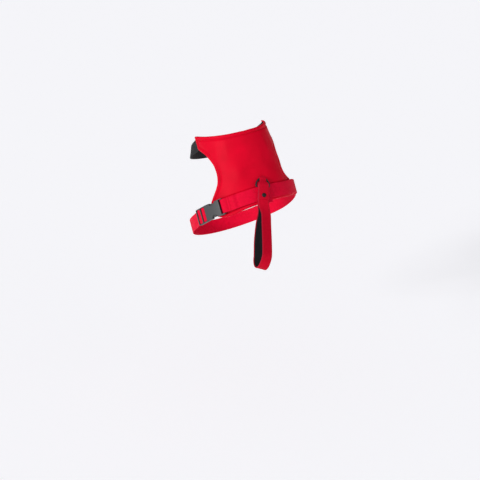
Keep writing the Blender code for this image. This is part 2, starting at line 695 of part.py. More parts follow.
def leash_path():
    """Centreline of the red strip as (run, h) in millimetres: end flap, turn round the ring, back leg, bend and
    front leg."""
    bow = RING_BOW_H / MM
    turn_r = (WIRE_RADIUS + SEAM_GAP + LEASH_THICK / 2) / MM + 0.1
    turn = [(BOW_RUN / MM - BOW_STRETCH * turn_r * math.sin(a), bow + turn_r * math.cos(a))
            for a in np.linspace(0, math.pi, 9)]
    first = curve_through(FLAP + turn[:1], 2) + [Vector(p) for p in turn[1:-1]]
    back = curve_through(turn[-1:] + BACK_LEG, 3)
    middle = (BACK_LEG[-1][1] + FRONT_LEG[0][1]) / 2
    half = (FRONT_LEG[0][1] - BACK_LEG[-1][1]) / 2
    bend = [Vector((LOOP_BEND / MM + LOOP_BEND_LENGTH / MM * math.sin(a), middle - half * math.cos(a)))
            for a in np.linspace(0, math.pi, 15)[1:-1]]
    return first + back + bend + curve_through(FRONT_LEG, 3)


def make_leash(red, black, parts):
    frames = leash_frames()
    path = leash_path()
    loop = add_grid("leash_loop", leash_rows(frames, path, LEASH_WIDTH), red, parts)
    thicken(loop, LEASH_THICK, 0)
    inward = (LEASH_THICK / 2 + SEAM_GAP + LINING_THICK / 2) / MM
    inner = []
    for before, point, after in zip(path, path[1:], path[2:]):
        ahead = (after - before).normalized()
        inner.append((point, point + Vector((-ahead.y, ahead.x)) * inward))
    deep = max(range(len(inner)), key=lambda k: inner[k][0].x)
    start = max(k for k in range(deep) if inner[k][0].x < LINING_START)
    stop = min(k for k in range(deep, len(inner)) if inner[k][0].x < LINING_START + 1)
    lined = [line for _, line in inner[start + 1:stop]]
    lining = add_grid("leash_lining", leash_rows(frames, lined, LINING_WIDTH), black, parts)
    thicken(lining, LINING_THICK, 0)
    return frames


def make_snap(frames, material, parts):
    """Domed cap of the snap through the stem."""
    point, normal, side = frames[int(SNAP_RUN / MM)]
    height = (FLAP[1][1] + LEASH_THICK / MM / 2) * MM + SEAM_GAP
    mesh = bpy.data.meshes.new("leash_snap")
    rim = [(0.0, SNAP_HEIGHT), (SNAP_RADIUS * 0.5, SNAP_HEIGHT * 0.93), (SNAP_RADIUS * 0.85, SNAP_HEIGHT * 0.6),
           (SNAP_RADIUS, SNAP_HEIGHT * 0.25), (SNAP_RADIUS, 0.0), (0.0, 0.0)]
    mesh.from_pydata([(r, 0, z) for r, z in rim], [(i, i + 1) for i in range(len(rim) - 1)], [])
    mesh.materials.append(material)
    cap = bpy.data.objects.new("leash_snap", mesh)
    parts.objects.link(cap)
    turned = cap.modifiers.new("turned", "SCREW")
    turned.axis = "Z"
    turned.steps = turned.render_steps = 20
    turned.use_merge_vertices = True
    turned.merge_threshold = 1e-5
    axes = Matrix((side, normal.cross(side), normal)).transposed()
    cap.matrix_world = Matrix.Translation(point + normal * height) @ axes.to_4x4()
    return cap


def make_neck_strap(material, parts):
    """From under one shoulder end, round the front of the neck, to the other."""
    a, b, centre = section(NECK_STRAP_S)
    start = angle_at(NECK_STRAP_START, NECK_STRAP_S)
    half = NECK_STRAP_WIDTH / 2
    rows = []
    for angle in np.linspace(start, 2 * math.pi - start, 72):
        from_end = min(angle - start, 2 * math.pi - start - angle)
        free = smooth((from_end - NECK_FREE_START) / NECK_FREE_SPAN)
        half_width = a + NECK_FRONT_SPREAD * free
        depth = b + (NECK_FRONT_DEPTH - b) * free
        point = Vector((half_width * math.sin(angle), NECK_STRAP_S, centre + depth * math.cos(angle)))
        outward = Vector((math.sin(angle) / half_width, 0, math.cos(angle) / depth)).normalized()
        middle = point - outward * (SEAM_GAP + WEBBING_THICK / 2)
        width = Vector((0, 1, 0)) * math.cos(NECK_TILT * free) - outward * math.sin(NECK_TILT * free)
        rows.append((to_world(middle - width * half), to_world(middle + width * half)))
    strap = add_grid("neck_strap", rows, material, parts)
    thicken(strap, WEBBING_THICK, 0)
    return strap


def main():
    for old in list(bpy.data.objects):
        bpy.data.objects.remove(old, do_unlink=True)
    parts = new_collection("dog harness")
    cutters = new_collection("cutters")
    red = make_material("red softshell", RED, 0.55)
    webbing = make_material("red webbing", RED_WEBBING, 0.7)
    black_webbing = make_material("black webbing", BLACK, 0.8)
    metal = make_material("black metal", BLACK, 0.35, 0.8)
    plastic = make_material("black plastic", BLACK, 0.4)
    make_panel(red, parts)
    make_girth_strap(webbing, parts)
    make_buckle_female(plastic, parts, cutters)
    make_buckle_male(plastic, parts, cutters)
    make_d_ring(metal, parts)
    make_tab(webbing, parts)
    frames = make_leash(webbing, black_webbing, parts)
    make_snap(frames, plastic, parts)
    make_neck_strap(black_webbing, parts)


main()
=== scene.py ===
# %% [markdown]
# # A dog harness with a hand loop
# A harness is sewn cloth that keeps the shape of what it lies on, so this lesson first builds a round
# figure, as a few formulas, and then lays every piece on it. The figure is never drawn: it only says where
# a point of cloth goes.

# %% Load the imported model
import math

import bmesh
import bpy
import numpy as np
from mathutils import Matrix, Vector


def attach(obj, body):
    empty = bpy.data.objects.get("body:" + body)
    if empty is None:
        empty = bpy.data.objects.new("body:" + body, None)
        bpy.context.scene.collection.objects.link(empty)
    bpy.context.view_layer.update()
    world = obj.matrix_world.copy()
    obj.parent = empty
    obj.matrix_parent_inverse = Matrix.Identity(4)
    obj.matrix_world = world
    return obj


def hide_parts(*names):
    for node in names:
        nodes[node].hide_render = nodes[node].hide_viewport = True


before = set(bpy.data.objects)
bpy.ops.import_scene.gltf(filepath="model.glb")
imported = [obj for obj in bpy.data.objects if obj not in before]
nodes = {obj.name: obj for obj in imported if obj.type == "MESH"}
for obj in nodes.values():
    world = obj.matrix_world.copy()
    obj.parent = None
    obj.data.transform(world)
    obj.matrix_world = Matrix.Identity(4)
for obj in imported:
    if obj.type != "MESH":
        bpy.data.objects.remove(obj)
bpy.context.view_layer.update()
MM = 0.001
link = bpy.context.scene.collection.objects.link
print("nodes:", sorted(nodes))

# %% [markdown]
# ## The camera
# The photograph looks down at the harness from behind, a little from the left. The camera comes first, so
# that each later step can be judged in the picture. It stands 2.6 m away with a long lens, and a small
# shift puts the harness where the photograph has it.

# %% Axes of the figure
PITCH, LEAN = math.radians(53), math.radians(4)
GIRTH_HALF_WIDTH, GIRTH_HALF_DEPTH = 95 * MM, 111 * MM
turned = Matrix.Rotation(-LEAN, 3, "Y")
RIGHT = turned @ Vector((1, 0, 0))
SPINE = turned @ Vector((0, math.cos(PITCH), math.sin(PITCH)))
BACK = turned @ Vector((0, -math.sin(PITCH), math.cos(PITCH)))
girth_middle = BACK * -GIRTH_HALF_DEPTH
print("the middle of the girth is at", [round(x, 3) for x in girth_middle])

# %% Camera
AZIMUTH, ELEVATION, DISTANCE = math.radians(-26.5), math.radians(24), 2.6
SENSOR_WIDTH, FOCAL_LENGTH = 36, 107.25  # millimetres
PICTURE_SIDE, SHIFT_ACROSS, SHIFT_UP = 480, -2.8, -31  # pixels
to_camera = Vector((math.sin(AZIMUTH) * math.cos(ELEVATION), -math.cos(AZIMUTH) * math.cos(ELEVATION),
                    math.sin(ELEVATION)))
across_view = Vector((math.cos(AZIMUTH), math.sin(AZIMUTH), 0))
up_view = to_camera.cross(across_view)
lens = bpy.data.cameras.new("camera")
lens.sensor_width = SENSOR_WIDTH
lens.lens = FOCAL_LENGTH
lens.shift_x = SHIFT_ACROSS / PICTURE_SIDE
lens.shift_y = SHIFT_UP / PICTURE_SIDE
camera = bpy.data.objects.new("camera", lens)
link(camera)
view_axes = Matrix((across_view, up_view, to_camera)).transposed()
camera.matrix_world = Matrix.Translation(girth_middle + to_camera * DISTANCE) @ view_axes.to_4x4()
bpy.context.scene.camera = camera
print("camera at", [round(x, 2) for x in camera.location])

# %% [markdown]
# ## Colours and nodes
# Colours are written as the hex values that a colour picker gives, and one function turns them into the
# linear values that Blender's shaders want. One small function adds a node, so that a material reads as
# a list of nodes with their links.

# %% Two helpers for materials
def srgb(code):
    """The linear colour of a hex value, with full alpha."""
    values = [int(code[i:i + 2], 16) / 255 for i in (1, 3, 5)]
    return tuple(v / 12.92 if v <= 0.04045 else ((v + 0.055) / 1.055) ** 2.4 for v in values) + (1.0,)


def add(tree, kind, inputs=None, **settings):
    """A new node with its settings; an input is a value or another node's output."""
    node = tree.nodes.new(kind)
    for name, value in settings.items():
        setattr(node, name, value)
    for name, value in (inputs or {}).items():
        if isinstance(value, bpy.types.NodeSocket):
            tree.links.new(value, node.inputs[name])
        else:
            node.inputs[name].default_value = value
    return node


def new_material(name, roughness, **sockets):
    """A material with a Principled shader; sockets are values set on the shader itself."""
    material = bpy.data.materials.new(name)
    material.use_nodes = True
    shader = material.node_tree.nodes["Principled BSDF"]
    shader.inputs["Roughness"].default_value = roughness
    for socket, value in sockets.items():
        shader.inputs[socket.replace("_", " ")].default_value = value
    return material, material.node_tree, shader


print("mid grey, #808080, in linear light:", round(srgb("#808080")[0], 3))

# %% [markdown]
# ## Softshell
# The back panel is polyester softshell: a dense, smooth knit bonded to a thin foam. It gives the eye an
# even satin red with almost no grain. The knit's loops are about 0.5 mm apart, too fine for this picture,
# so they are drawn at 1 mm and very low. Broad, weak noise stands for the foam's uneven softness, and a
# broader one for the small differences in the dye.

# %% Softshell material
SOFTSHELL_REDS = ("#D00123", "#E00128")
KNIT_PER_METRE = 1000  # loops 1 mm apart
SOFT_SPOTS_PER_METRE = 90.0  # 11 mm apart
DYE_SPOTS_PER_METRE = 28.0  # 36 mm apart
softshell, tree, shader = new_material("polyester softshell, smooth face", 0.5, IOR=1.5,
                                       Specular_IOR_Level=0.055)
place_on = add(tree, "ShaderNodeTexCoord").outputs["Object"]
dye = add(tree, "ShaderNodeTexNoise", {"Vector": place_on, "Scale": DYE_SPOTS_PER_METRE, "Detail": 2.0})
tone = add(tree, "ShaderNodeValToRGB", {"Fac": dye.outputs["Fac"]})
for stop, position, red in zip(tone.color_ramp.elements, (0.3, 0.7), SOFTSHELL_REDS):
    stop.position, stop.color = position, srgb(red)
tree.links.new(tone.outputs["Color"], shader.inputs["Base Color"])
knit = add(tree, "ShaderNodeTexVoronoi", {"Vector": place_on, "Scale": KNIT_PER_METRE})
soft = add(tree, "ShaderNodeTexNoise", {"Vector": place_on, "Scale": SOFT_SPOTS_PER_METRE, "Detail": 3.0})
low = add(tree, "ShaderNodeBump", {"Height": soft.outputs["Fac"], "Strength": 0.25, "Distance": 0.6 * MM})
fine = add(tree, "ShaderNodeBump", {"Height": knit.outputs["Distance"], "Strength": 0.12,
                                    "Distance": 0.2 * MM, "Normal": low.outputs["Normal"]})
tree.links.new(fine.outputs["Normal"], shader.inputs["Normal"])
print("made", softshell.name)

# %% [markdown]
# ## Webbing
# Straps are woven tape. Warp yarns run along it and weft yarns cross them, so a face shows rows of small
# bumps, each row shifted by half a bump. The pattern follows the tape, not the world, so it reads a UV map
# in metres: U runs along the tape and V across it. Two sine waves multiplied give the over and under of the
# weave. Real yarns are 1 mm apart; they are drawn 1.6 mm apart across the tape and 2.4 mm along it, so that
# the grain shows. The outermost 0.9 mm of each edge gets a colour of its own, a painted highlight where the
# edge's fibres catch the light.

# %% Webbing material
WEBBING_WIDTH, LOOP_WIDTH = 25 * MM, 19 * MM
# The last of these is how far in from each edge the painted highlight reaches.
YARN_ALONG, YARN_ACROSS, EDGE_HIGHLIGHT_WIDTH = 2.4 * MM, 1.6 * MM, 0.9 * MM
HEATHER_PER_METRE = 220.0  # spots of lighter yarn, 4.5 mm apart


def webbing_material(name, colours, half_width, roughness, specular):
    """A woven tape; colours are those of the low yarns, the high yarns and the painted highlight along the
    edge.
    """
    low, high, edge_highlight = (srgb(code) for code in colours)
    material, tree, shader = new_material(name, roughness, IOR=1.5, Specular_IOR_Level=specular)
    uv = add(tree, "ShaderNodeUVMap", uv_map="tape").outputs["UV"]
    split = add(tree, "ShaderNodeSeparateXYZ", {"Vector": uv})
    waves = []
    for socket, pitch in ((split.outputs["X"], YARN_ALONG), (split.outputs["Y"], YARN_ACROSS)):
        turn = add(tree, "ShaderNodeMath", {0: socket, 1: 2 * math.pi / pitch}, operation="MULTIPLY")
        waves.append(add(tree, "ShaderNodeMath", {0: turn.outputs[0]}, operation="SINE").outputs[0])
    weave = add(tree, "ShaderNodeMath", {0: waves[0], 1: waves[1]}, operation="MULTIPLY")
    heather = add(tree, "ShaderNodeTexNoise", {"Vector": uv, "Scale": HEATHER_PER_METRE, "Detail": 2.0})
    shade = add(tree, "ShaderNodeMath", {0: weave.outputs[0], 1: 0.3, 2: heather.outputs["Fac"]},
                operation="MULTIPLY_ADD")
    tone = add(tree, "ShaderNodeMix", {0: shade.outputs[0], 6: low, 7: high}, data_type="RGBA")
    # Near each edge the colour is mixed to a lighter one: a painted highlight, where the edge's fibres catch
    # the light.
    side = add(tree, "ShaderNodeMath", {0: split.outputs["Y"]}, operation="ABSOLUTE")
    rim = add(tree, "ShaderNodeMapRange", {"Value": side.outputs[0], "From Min": half_width - EDGE_HIGHLIGHT_WIDTH,
                                           "From Max": half_width})
    with_edge_highlight = add(tree, "ShaderNodeMix", {0: rim.outputs["Result"], 6: tone.outputs[2], 7: edge_highlight},
                data_type="RGBA")
    tree.links.new(with_edge_highlight.outputs[2], shader.inputs["Base Color"])
    bump = add(tree, "ShaderNodeBump", {"Height": weave.outputs[0], "Strength": 0.35, "Distance": 0.25 * MM})
    tree.links.new(bump.outputs["Normal"], shader.inputs["Normal"])
    return material


# The third colour of each tape is the painted highlight along its edges.
strap_red = webbing_material("polyester webbing, red", ("#D00227", "#F0083A", "#D80E32"),
                             WEBBING_WIDTH / 2, 0.62, 0.06)
loop_red = webbing_material("polyester webbing, red, hand loop", ("#B80220", "#D2042A", "#B4203A"),
                            LOOP_WIDTH / 2, 0.62, 0.06)
strap_black = webbing_material("polypropylene webbing, black", ("#0B0B0D", "#18181B", "#202024"),
                               WEBBING_WIDTH / 2, 0.7, 0.3)
print("made", [material.name for material in (strap_red, loop_red, strap_black)])

# %% [markdown]
# ## Plastic, metal and thread
# The buckle is acetal, moulded against a lightly blasted steel tool: a satin black with a soft, grey
# highlight. Real blasting leaves grains of 0.1 mm, which are drawn at 0.6 mm so that they show. The ring is
# bent steel wire with a black electro-coat, smoother and brighter than the plastic, and the snap is a brass
# cap under black enamel. The thread is twisted polyester, a little shinier than the cloth around it.

# %% Acetal for the buckle
GRIT_PER_METRE = 1 / (0.6 * MM)
acetal, tree, shader = new_material("acetal, moulded, satin black", 0.5, IOR=1.5, Specular_IOR_Level=0.95,
                                    Base_Color=srgb("#26292B"))
grit_at = add(tree, "ShaderNodeTexCoord").outputs["Object"]
grit = add(tree, "ShaderNodeTexNoise", {"Vector": grit_at, "Scale": GRIT_PER_METRE, "Detail": 2.0})
blasted = add(tree, "ShaderNodeBump", {"Height": grit.outputs["Fac"], "Strength": 0.25,
                                       "Distance": 0.08 * MM})
tree.links.new(blasted.outputs["Normal"], shader.inputs["Normal"])
scuff = add(tree, "ShaderNodeMapRange", {"Value": grit.outputs["Fac"], "To Min": 0.44, "To Max": 0.58})
tree.links.new(scuff.outputs["Result"], shader.inputs["Roughness"])
print("made", acetal.name)

# %% Coated steel for the ring and enamel for the snap
WORN_SPOTS_PER_METRE = 400.0  # rubbed spots 2.5 mm apart
BRUSH_MARKS_PER_METRE = 700.0  # 1.4 mm apart
coated_steel, tree, shader = new_material("steel wire, black electro-coat", 0.24, Metallic=0.85,
                                          Base_Color=srgb("#3A3A3E"))
worn_at = add(tree, "ShaderNodeTexCoord").outputs["Object"]
worn = add(tree, "ShaderNodeTexNoise", {"Vector": worn_at, "Scale": WORN_SPOTS_PER_METRE, "Detail": 3.0})
polish = add(tree, "ShaderNodeMapRange", {"Value": worn.outputs["Fac"], "To Min": 0.18, "To Max": 0.34})
tree.links.new(polish.outputs["Result"], shader.inputs["Roughness"])

black_enamel, tree, shader = new_material("brass snap cap, black enamel", 0.4, Specular_IOR_Level=0.3)
brushed_at = add(tree, "ShaderNodeTexCoord").outputs["Object"]
brushed = add(tree, "ShaderNodeTexNoise", {"Vector": brushed_at, "Scale": BRUSH_MARKS_PER_METRE})
enamel = add(tree, "ShaderNodeMix", {0: brushed.outputs["Fac"], 6: srgb("#060607"), 7: srgb("#111113")},
             data_type="RGBA")
tree.links.new(enamel.outputs[2], shader.inputs["Base Color"])
print("made", coated_steel.name, "and", black_enamel.name)

# %% Thread
TWISTS_PER_METRE = 900.0  # 1.1 mm apart
red_thread, tree, shader = new_material("polyester thread, red", 0.5, IOR=1.5, Specular_IOR_Level=0.2)
twist_at = add(tree, "ShaderNodeTexCoord").outputs["Object"]
twist = add(tree, "ShaderNodeTexNoise", {"Vector": twist_at, "Scale": TWISTS_PER_METRE})
strand = add(tree, "ShaderNodeMix", {0: twist.outputs["Fac"], 6: srgb("#A8061F"), 7: srgb("#D40E2E")},
             data_type="RGBA")
tree.links.new(strand.outputs[2], shader.inputs["Base Color"])
print("made", red_thread.name)

# %% [markdown]
# ## The figure that the cloth lies on
# Every section across the spine is an ellipse: wide and deep at the girth, small at the neck. A place on it
# is (arc, s, h): arc is how far round the figure from the spine, s how far along the spine to the front, and
# h how high above the figure. Measured like this, flat tape and flat cloth keep their real lengths.

# %% Sections of the figure
NECK_HALF_WIDTH, NECK_HALF_DEPTH, NECK_RISE = 66 * MM, 64 * MM, 6 * MM
TAPER_START, TAPER_LENGTH = 20 * MM, 105 * MM
WAIST_DIP, WAIST_SPAN, WAIST_BEHIND = 2 * MM, 90 * MM, -0.35
NECK_AT = 125 * MM
TURNS = np.linspace(0, 2 * math.pi, 721)


def smooth(t):
    """From 0 to 1 with a soft start and a soft stop."""
    t = min(max(t, 0.0), 1.0)
    return t * t * (3 - 2 * t)


def section(s):
    """Half width, half depth and height of the middle of the ellipse at s."""
    taper = smooth((s - TAPER_START) / TAPER_LENGTH)
    dip = WAIST_DIP * math.sin(math.pi * min(max(s / WAIST_SPAN, WAIST_BEHIND), 1))
    half_width = GIRTH_HALF_WIDTH + (NECK_HALF_WIDTH - GIRTH_HALF_WIDTH) * taper - dip
    half_depth = GIRTH_HALF_DEPTH + (NECK_HALF_DEPTH - GIRTH_HALF_DEPTH) * taper
    return half_width, half_depth, NECK_RISE * smooth(s / (TAPER_START + TAPER_LENGTH)) - half_depth


def arc_lengths(s):
    """The way round the ellipse up to each angle of TURNS."""
    a, b, _ = section(s)
    speed = np.sqrt((a * np.cos(TURNS)) ** 2 + (b * np.sin(TURNS)) ** 2)
    return np.concatenate([[0], np.cumsum((speed[1:] + speed[:-1]) / 2 * np.diff(TURNS))])


def angle_at(arc, s):
    return math.copysign(float(np.interp(abs(arc), arc_lengths(s), TURNS)), arc)


girth = float(arc_lengths(0)[-1])
print(f"girth of the figure {girth * 1000:.0f} mm, neck {arc_lengths(NECK_AT)[-1] * 1000:.0f} mm")

# %% Placing a point on the figure
def frame_at(angle, s):
    """A point of the figure and its outward normal, in the figure's axes."""
    step = 0.0005  # of a radian, and of a metre

    def skin(angle, s):
        a, b, centre = section(s)
        return Vector((a * math.sin(angle), s, centre + b * math.cos(angle)))

    round_body = skin(angle + step, s) - skin(angle - step, s)
    along = skin(angle, s + step) - skin(angle, s - step)
    return skin(angle, s), round_body.cross(along).normalized()


def to_world(v):
    return RIGHT * v.x + SPINE * v.y + BACK * v.z


def place(arc, s, h):
    point, normal = frame_at(angle_at(arc, s), s)
    return to_world(point + normal * h)


STRAP_LIFT, STRAP_STANDS_OFF = 5 * MM, 3 * MM
LIFT_FROM, LIFT_REACHED, LIFT_KEPT, LIFT_GONE = 40 * MM, 95 * MM, 110 * MM, 210 * MM


def place_on_girth(arc, s, h):
    """As place, but along the girth strap, which on the right side runs 5 mm further forward."""
    rise = smooth((arc - LIFT_FROM) / (LIFT_REACHED - LIFT_FROM))
    fall = smooth((arc - LIFT_KEPT) / (LIFT_GONE - LIFT_KEPT))
    off = STRAP_STANDS_OFF * (rise - fall) * (0.5 + s / WEBBING_WIDTH)
    point, normal = frame_at(angle_at(arc, 0), s + STRAP_LIFT * (rise - fall))
    return to_world(point + normal * (h + off))


print("100 mm round to the right is", [round(x, 3) for x in place(100 * MM, 0, 0)])

# %% [markdown]
# ## Smooth curves from short tables
# A few points are enough to draw a curve by hand. A Catmull-Rom curve passes through all of them, which
# suits outlines and routes that were measured.

# %% Curves
def curve_through(points, per_span):
    """A Catmull-Rom curve with per_span steps between two points of the table."""
    pts = [Vector(p) for p in points]
    ends = [pts[0] * 2 - pts[1]] + pts + [pts[-1] * 2 - pts[-2]]
    made = []
    for i in range(1, len(ends) - 2):
        p0, p1, p2, p3 = ends[i - 1:i + 3]
        for k in range(per_span):
            t = k / per_span
            made.append(0.5 * (2 * p1 + (p2 - p0) * t + (2 * p0 - 5 * p1 + 4 * p2 - p3) * t * t
                               + (3 * p1 - p0 - 3 * p2 + p3) * t ** 3))
    made.append(pts[-1])
    return made


def length_of(points):
    return sum((b - a).length for a, b in zip(points, points[1:]))


def at_steps(points, step):
    """The same curve with points a fixed step apart."""
    lengths = np.concatenate([[0], np.cumsum([(b - a).length for a, b in zip(points, points[1:])])])
    wanted = np.linspace(0, lengths[-1], max(2, round(lengths[-1] / step) + 1))
    return [Vector(v) for v in zip(*[np.interp(wanted, lengths, [p[i] for p in points])
                                     for i in range(len(points[0]))])]


print("a test curve has", len(curve_through([(0, 0), (1, 1), (2, 0)], 8)), "points")

# %% [markdown]
# ## Tape
# All the straps are one thing: a flat tape with rounded edges that follows a route. The route is a line
# seen from the side, (distance, height). At each point the tape's section is laid across the route, and a
# function that is given for each strap says where that lands in the world. The UV map is in metres.

# %% A tape along a route
def tape_section(width, thickness):
    """Points round the tape's section as (across, up), with rounded edges."""
    r = thickness / 2
    flat = np.linspace(-width / 2 + r, width / 2 - r, 13)
    turn = np.linspace(math.pi / 2, -math.pi / 2, 7)[1:-1]
    right = [(width / 2 - r + r * math.cos(t), r * math.sin(t)) for t in turn]
    left = [(-x, z) for x, z in reversed(right)]
    return [(x, r) for x in flat] + right + [(x, -r) for x in reversed(flat)] + left


def new_piece(name, verts, faces, material):
    """A smooth mesh on the only body, with its material."""
    mesh = bpy.data.meshes.new(name)
    mesh.from_pydata([tuple(v) for v in verts], [], faces)
    mesh.update()
    mesh.shade_smooth()
    mesh.materials.append(material)
    piece = bpy.data.objects.new(name, mesh)
    link(piece)
    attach(piece, "root")
    return piece


def tape(name, route, width, thickness, where, material):
    """A tape along route; where(u, across, h) gives a point in the world."""
    profile = tape_section(width, thickness)
    verts, uvs, run = [], [], 0.0
    for k, point in enumerate(route):
        ahead = (route[min(k + 1, len(route) - 1)] - route[max(k - 1, 0)]).normalized()
        up = Vector((-ahead.y, ahead.x))
        run += (point - route[max(k - 1, 0)]).length
        for x, z in profile:
            q = point + up * z
            verts.append(where(q.x, x, q.y))
            uvs.append((run, x))
    n = len(profile)
    faces = [(i * n + j, i * n + (j + 1) % n, (i + 1) * n + (j + 1) % n, (i + 1) * n + j)
             for i in range(len(route) - 1) for j in range(n)]
    faces += [tuple(reversed(range(n))), tuple(range(len(verts) - n, len(verts)))]
    piece = new_piece(name, verts, faces, material)
    layer = piece.data.uv_layers.new(name="tape")
    for loop in piece.data.loops:
        layer.data[loop.index].uv = uvs[loop.vertex_index]
    shape = bmesh.new()
    shape.from_mesh(piece.data)
    bmesh.ops.recalc_face_normals(shape, faces=shape.faces)
    shape.to_mesh(piece.data)
    shape.free()
    return piece


print("points round a section:", len(tape_section(WEBBING_WIDTH, 1.6 * MM)))

# %% [markdown]
# ## Stitches
# A lockstitch shows as a row of short, plump dashes that sink a little into the cloth. Each dash is a small
# ellipsoid. All the dashes of a piece share one mesh, because hundreds of objects would be slow. The ball
# is worked out here, because Blender's own sphere lists its points in another order on each run.

# %% Rows of stitches
STITCH, PITCH_OF_STITCHES, THREAD = 2.5 * MM, 3.3 * MM, 0.32 * MM
SIDES = 6
half_steps = np.arange(1, 2 * SIDES, 2) * math.pi / SIDES
BALL = [Vector((math.sin(a) * math.cos(t), math.sin(a) * math.sin(t), math.cos(a)))
        for a in np.linspace(0, math.pi, SIDES + 1)[1:-1] for t in half_steps]
BALL = [Vector((0, 0, 1))] + BALL + [Vector((0, 0, -1))]
BALL_FACES, last = [], len(BALL) - 1
for j, k in zip(range(SIDES), [*range(1, SIDES), 0]):
    BALL_FACES += [(0, 1 + j, 1 + k), (last, last - SIDES + k, last - SIDES + j)]
    BALL_FACES += [(i + j, i + SIDES + j, i + SIDES + k, i + k) for i in range(1, last - SIDES, SIDES)]


def stitches(name, rows, material):
    """Rows are lists of (point, normal), closer together than a stitch."""
    verts, faces = [], []
    for row in rows:
        points = [p for p, _ in row]
        lengths = np.concatenate([[0], np.cumsum([(b - a).length for a, b in zip(points, points[1:])])])
        count = int(lengths[-1] / PITCH_OF_STITCHES)
        for k in range(count):
            middle = (k + 0.5) * lengths[-1] / count
            i = min(int(np.searchsorted(lengths, middle)), len(points) - 1)
            along = (points[i] - points[i - 1]).normalized()
            normal = row[i][1].normalized()
            side = normal.cross(along).normalized()
            share = (middle - lengths[i - 1]) / max(lengths[i] - lengths[i - 1], 1e-9)
            centre = points[i - 1].lerp(points[i], share)
            base = len(verts)
            verts += [centre + along * (p.z * STITCH / 2) + side * (p.x * THREAD) + normal * (p.y * THREAD)
                      for p in BALL]
            faces += [[base + j for j in f] for f in BALL_FACES]
    return new_piece(name, verts, faces, material)


def stitch_point(where, u, v, h):
    """A point of a row, and the way up from the cloth there."""
    point = where(u, v, h)
    return point, (where(u, v, h + MM) - point).normalized()


print("a stitch is", STITCH * 1000, "mm long")

# %% [markdown]
# ## The back panel
# The panel is cut like a short bib: two armholes, a scooped neckline and a curved lower edge. Its edges
# are turned and stitched 7 mm in, which leaves a plump roll, a groove where the thread pulls the foam
# down, and a slightly softer field. The flat outline is drawn from a few measured points, a grid is
# blended between its four sides, and each point is laid on the figure.

# %% The panel's outline, flat, in millimetres
# Each point: round from the spine, along the spine
ARMHOLE_LEFT = [(-95.5, -8), (-97.8, 2), (-96.8, 14.4), (-91.6, 20.7), (-83.6, 28.7), (-77.2, 35.8),
                (-72.4, 43.4), (-69.3, 55), (-69.2, 66), (-71, 77), (-76.8, 90.2), (-84.1, 101.2),
                (-98.5, 114.6)]
ARMHOLE_RIGHT = [(95.5, -5), (98.4, 4), (98.6, 13), (95.5, 18.8), (88, 21), (80, 23.2), (73, 26.8),
                 (68, 32), (66.2, 39), (67.2, 47), (68.9, 56), (69.2, 66), (71, 77), (76.8, 90.2),
                 (84.1, 101.2), (98.5, 114.6)]
SHOULDER_ENDS = [Vector((-97, 139)), Vector((97, 139))]
NECKLINE_HALF = [(-97, 139), (-87, 135.8), (-70, 129), (-48, 121.8), (-25, 117), (0, 115.2)]
BOTTOM = [(-95.5, -8), (-91, -13), (-83.5, -16.8), (-73, -19.4), (-62, -20.2), (-48, -19.2), (-34, -18.2),
          (-18, -17.4), (0, -16.2), (20, -15.8), (45, -15.2), (60, -14), (75, -11.4), (86, -8.4), (95.5, -5)]
OUTLINE_STEP = 1.5
left, right, bottom = [at_steps(curve_through(table, 8), OUTLINE_STEP)
                       for table in (ARMHOLE_LEFT, ARMHOLE_RIGHT, BOTTOM)]
half_neck = curve_through(NECKLINE_HALF, 8)
neckline = at_steps(half_neck + [Vector((-p.x, p.y)) for p in reversed(half_neck[:-1])], OUTLINE_STEP)
outline = bottom + right + list(reversed(neckline)) + list(reversed(left))

# %% Height of the panel's face by distance from its edge, in millimetres
# Columns: distance from the edge, height of the face
FACE = [(0.0, 0.9), (0.35, 1.7), (0.9, 2.35), (1.8, 2.8), (3.2, 3.0), (4.6, 2.85), (5.6, 2.1), (6.4, 0.8),
        (7.2, 0.8), (8.1, 2.2), (9.4, 2.8), (12.0, 2.75)]
PRESSED_DEPTH, PRESSED_ABOVE_STRAP, PRESSED_HALF_WIDTH = 1.3, 0.8, 1.1
# Columns: start arc, start s, end arc, end s, half width, height
CREASES = [(-25, 20, -32, 66, 11.0, 1.6), (10, 40, 22, 84, 9.0, 0.9), (-36, 118, -40, 70, 5.0, 0.55),
           (-52, 112, -60, 78, 4.0, 0.5), (30, 112, 42, 62, 6.0, 0.5), (52, 108, 60, 60, 4.0, 0.45),
           (-20, 60, -46, 28, 7.0, 0.35), (-78, 26, -62, 40, 4.0, 0.5)]
edge_a = np.array([tuple(p) for p in outline])
edge_d = np.roll(edge_a, -1, axis=0) - edge_a


def edge_distance(p):
    to_p = np.array((p.x, p.y)) - edge_a
    t = np.clip((to_p * edge_d).sum(1) / np.maximum((edge_d ** 2).sum(1), 1e-9), 0, 1)
    return float(np.sqrt(((to_p - edge_d * t[:, None]) ** 2).sum(1)).min())


def strap_edge(arc):
    """How far along the spine the girth strap's upper edge lies, in millimetres."""
    rise = smooth((arc * MM - LIFT_FROM) / (LIFT_REACHED - LIFT_FROM))
    return (WEBBING_WIDTH / 2 + STRAP_LIFT * rise) / MM


def face_height(p):
    """The foam is low in the groove of the hem, and is pressed in along the upper edge of the strap."""
    off = (p.y - strap_edge(p.x) - PRESSED_ABOVE_STRAP) / PRESSED_HALF_WIDTH
    pressed = PRESSED_DEPTH * math.exp(-off ** 2)
    return float(np.interp(edge_distance(p), [d for d, _ in FACE], [h for _, h in FACE])) - pressed


def crease_height(p):
    """How much the soft folds lift the panel."""
    total = 0.0
    for arc0, s0, arc1, s1, half_width, height in CREASES:
        a, b = Vector((arc0, s0)), Vector((arc1, s1))
        t = (p - a).dot(b - a) / (b - a).length_squared
        off = (p - a - (b - a) * t).length / half_width
        total += height * math.exp(-off * off) * smooth(2.5 * min(t, 1 - t))
    return total


print("face height in the field:", round(face_height(Vector((0, 60))), 2), "mm")

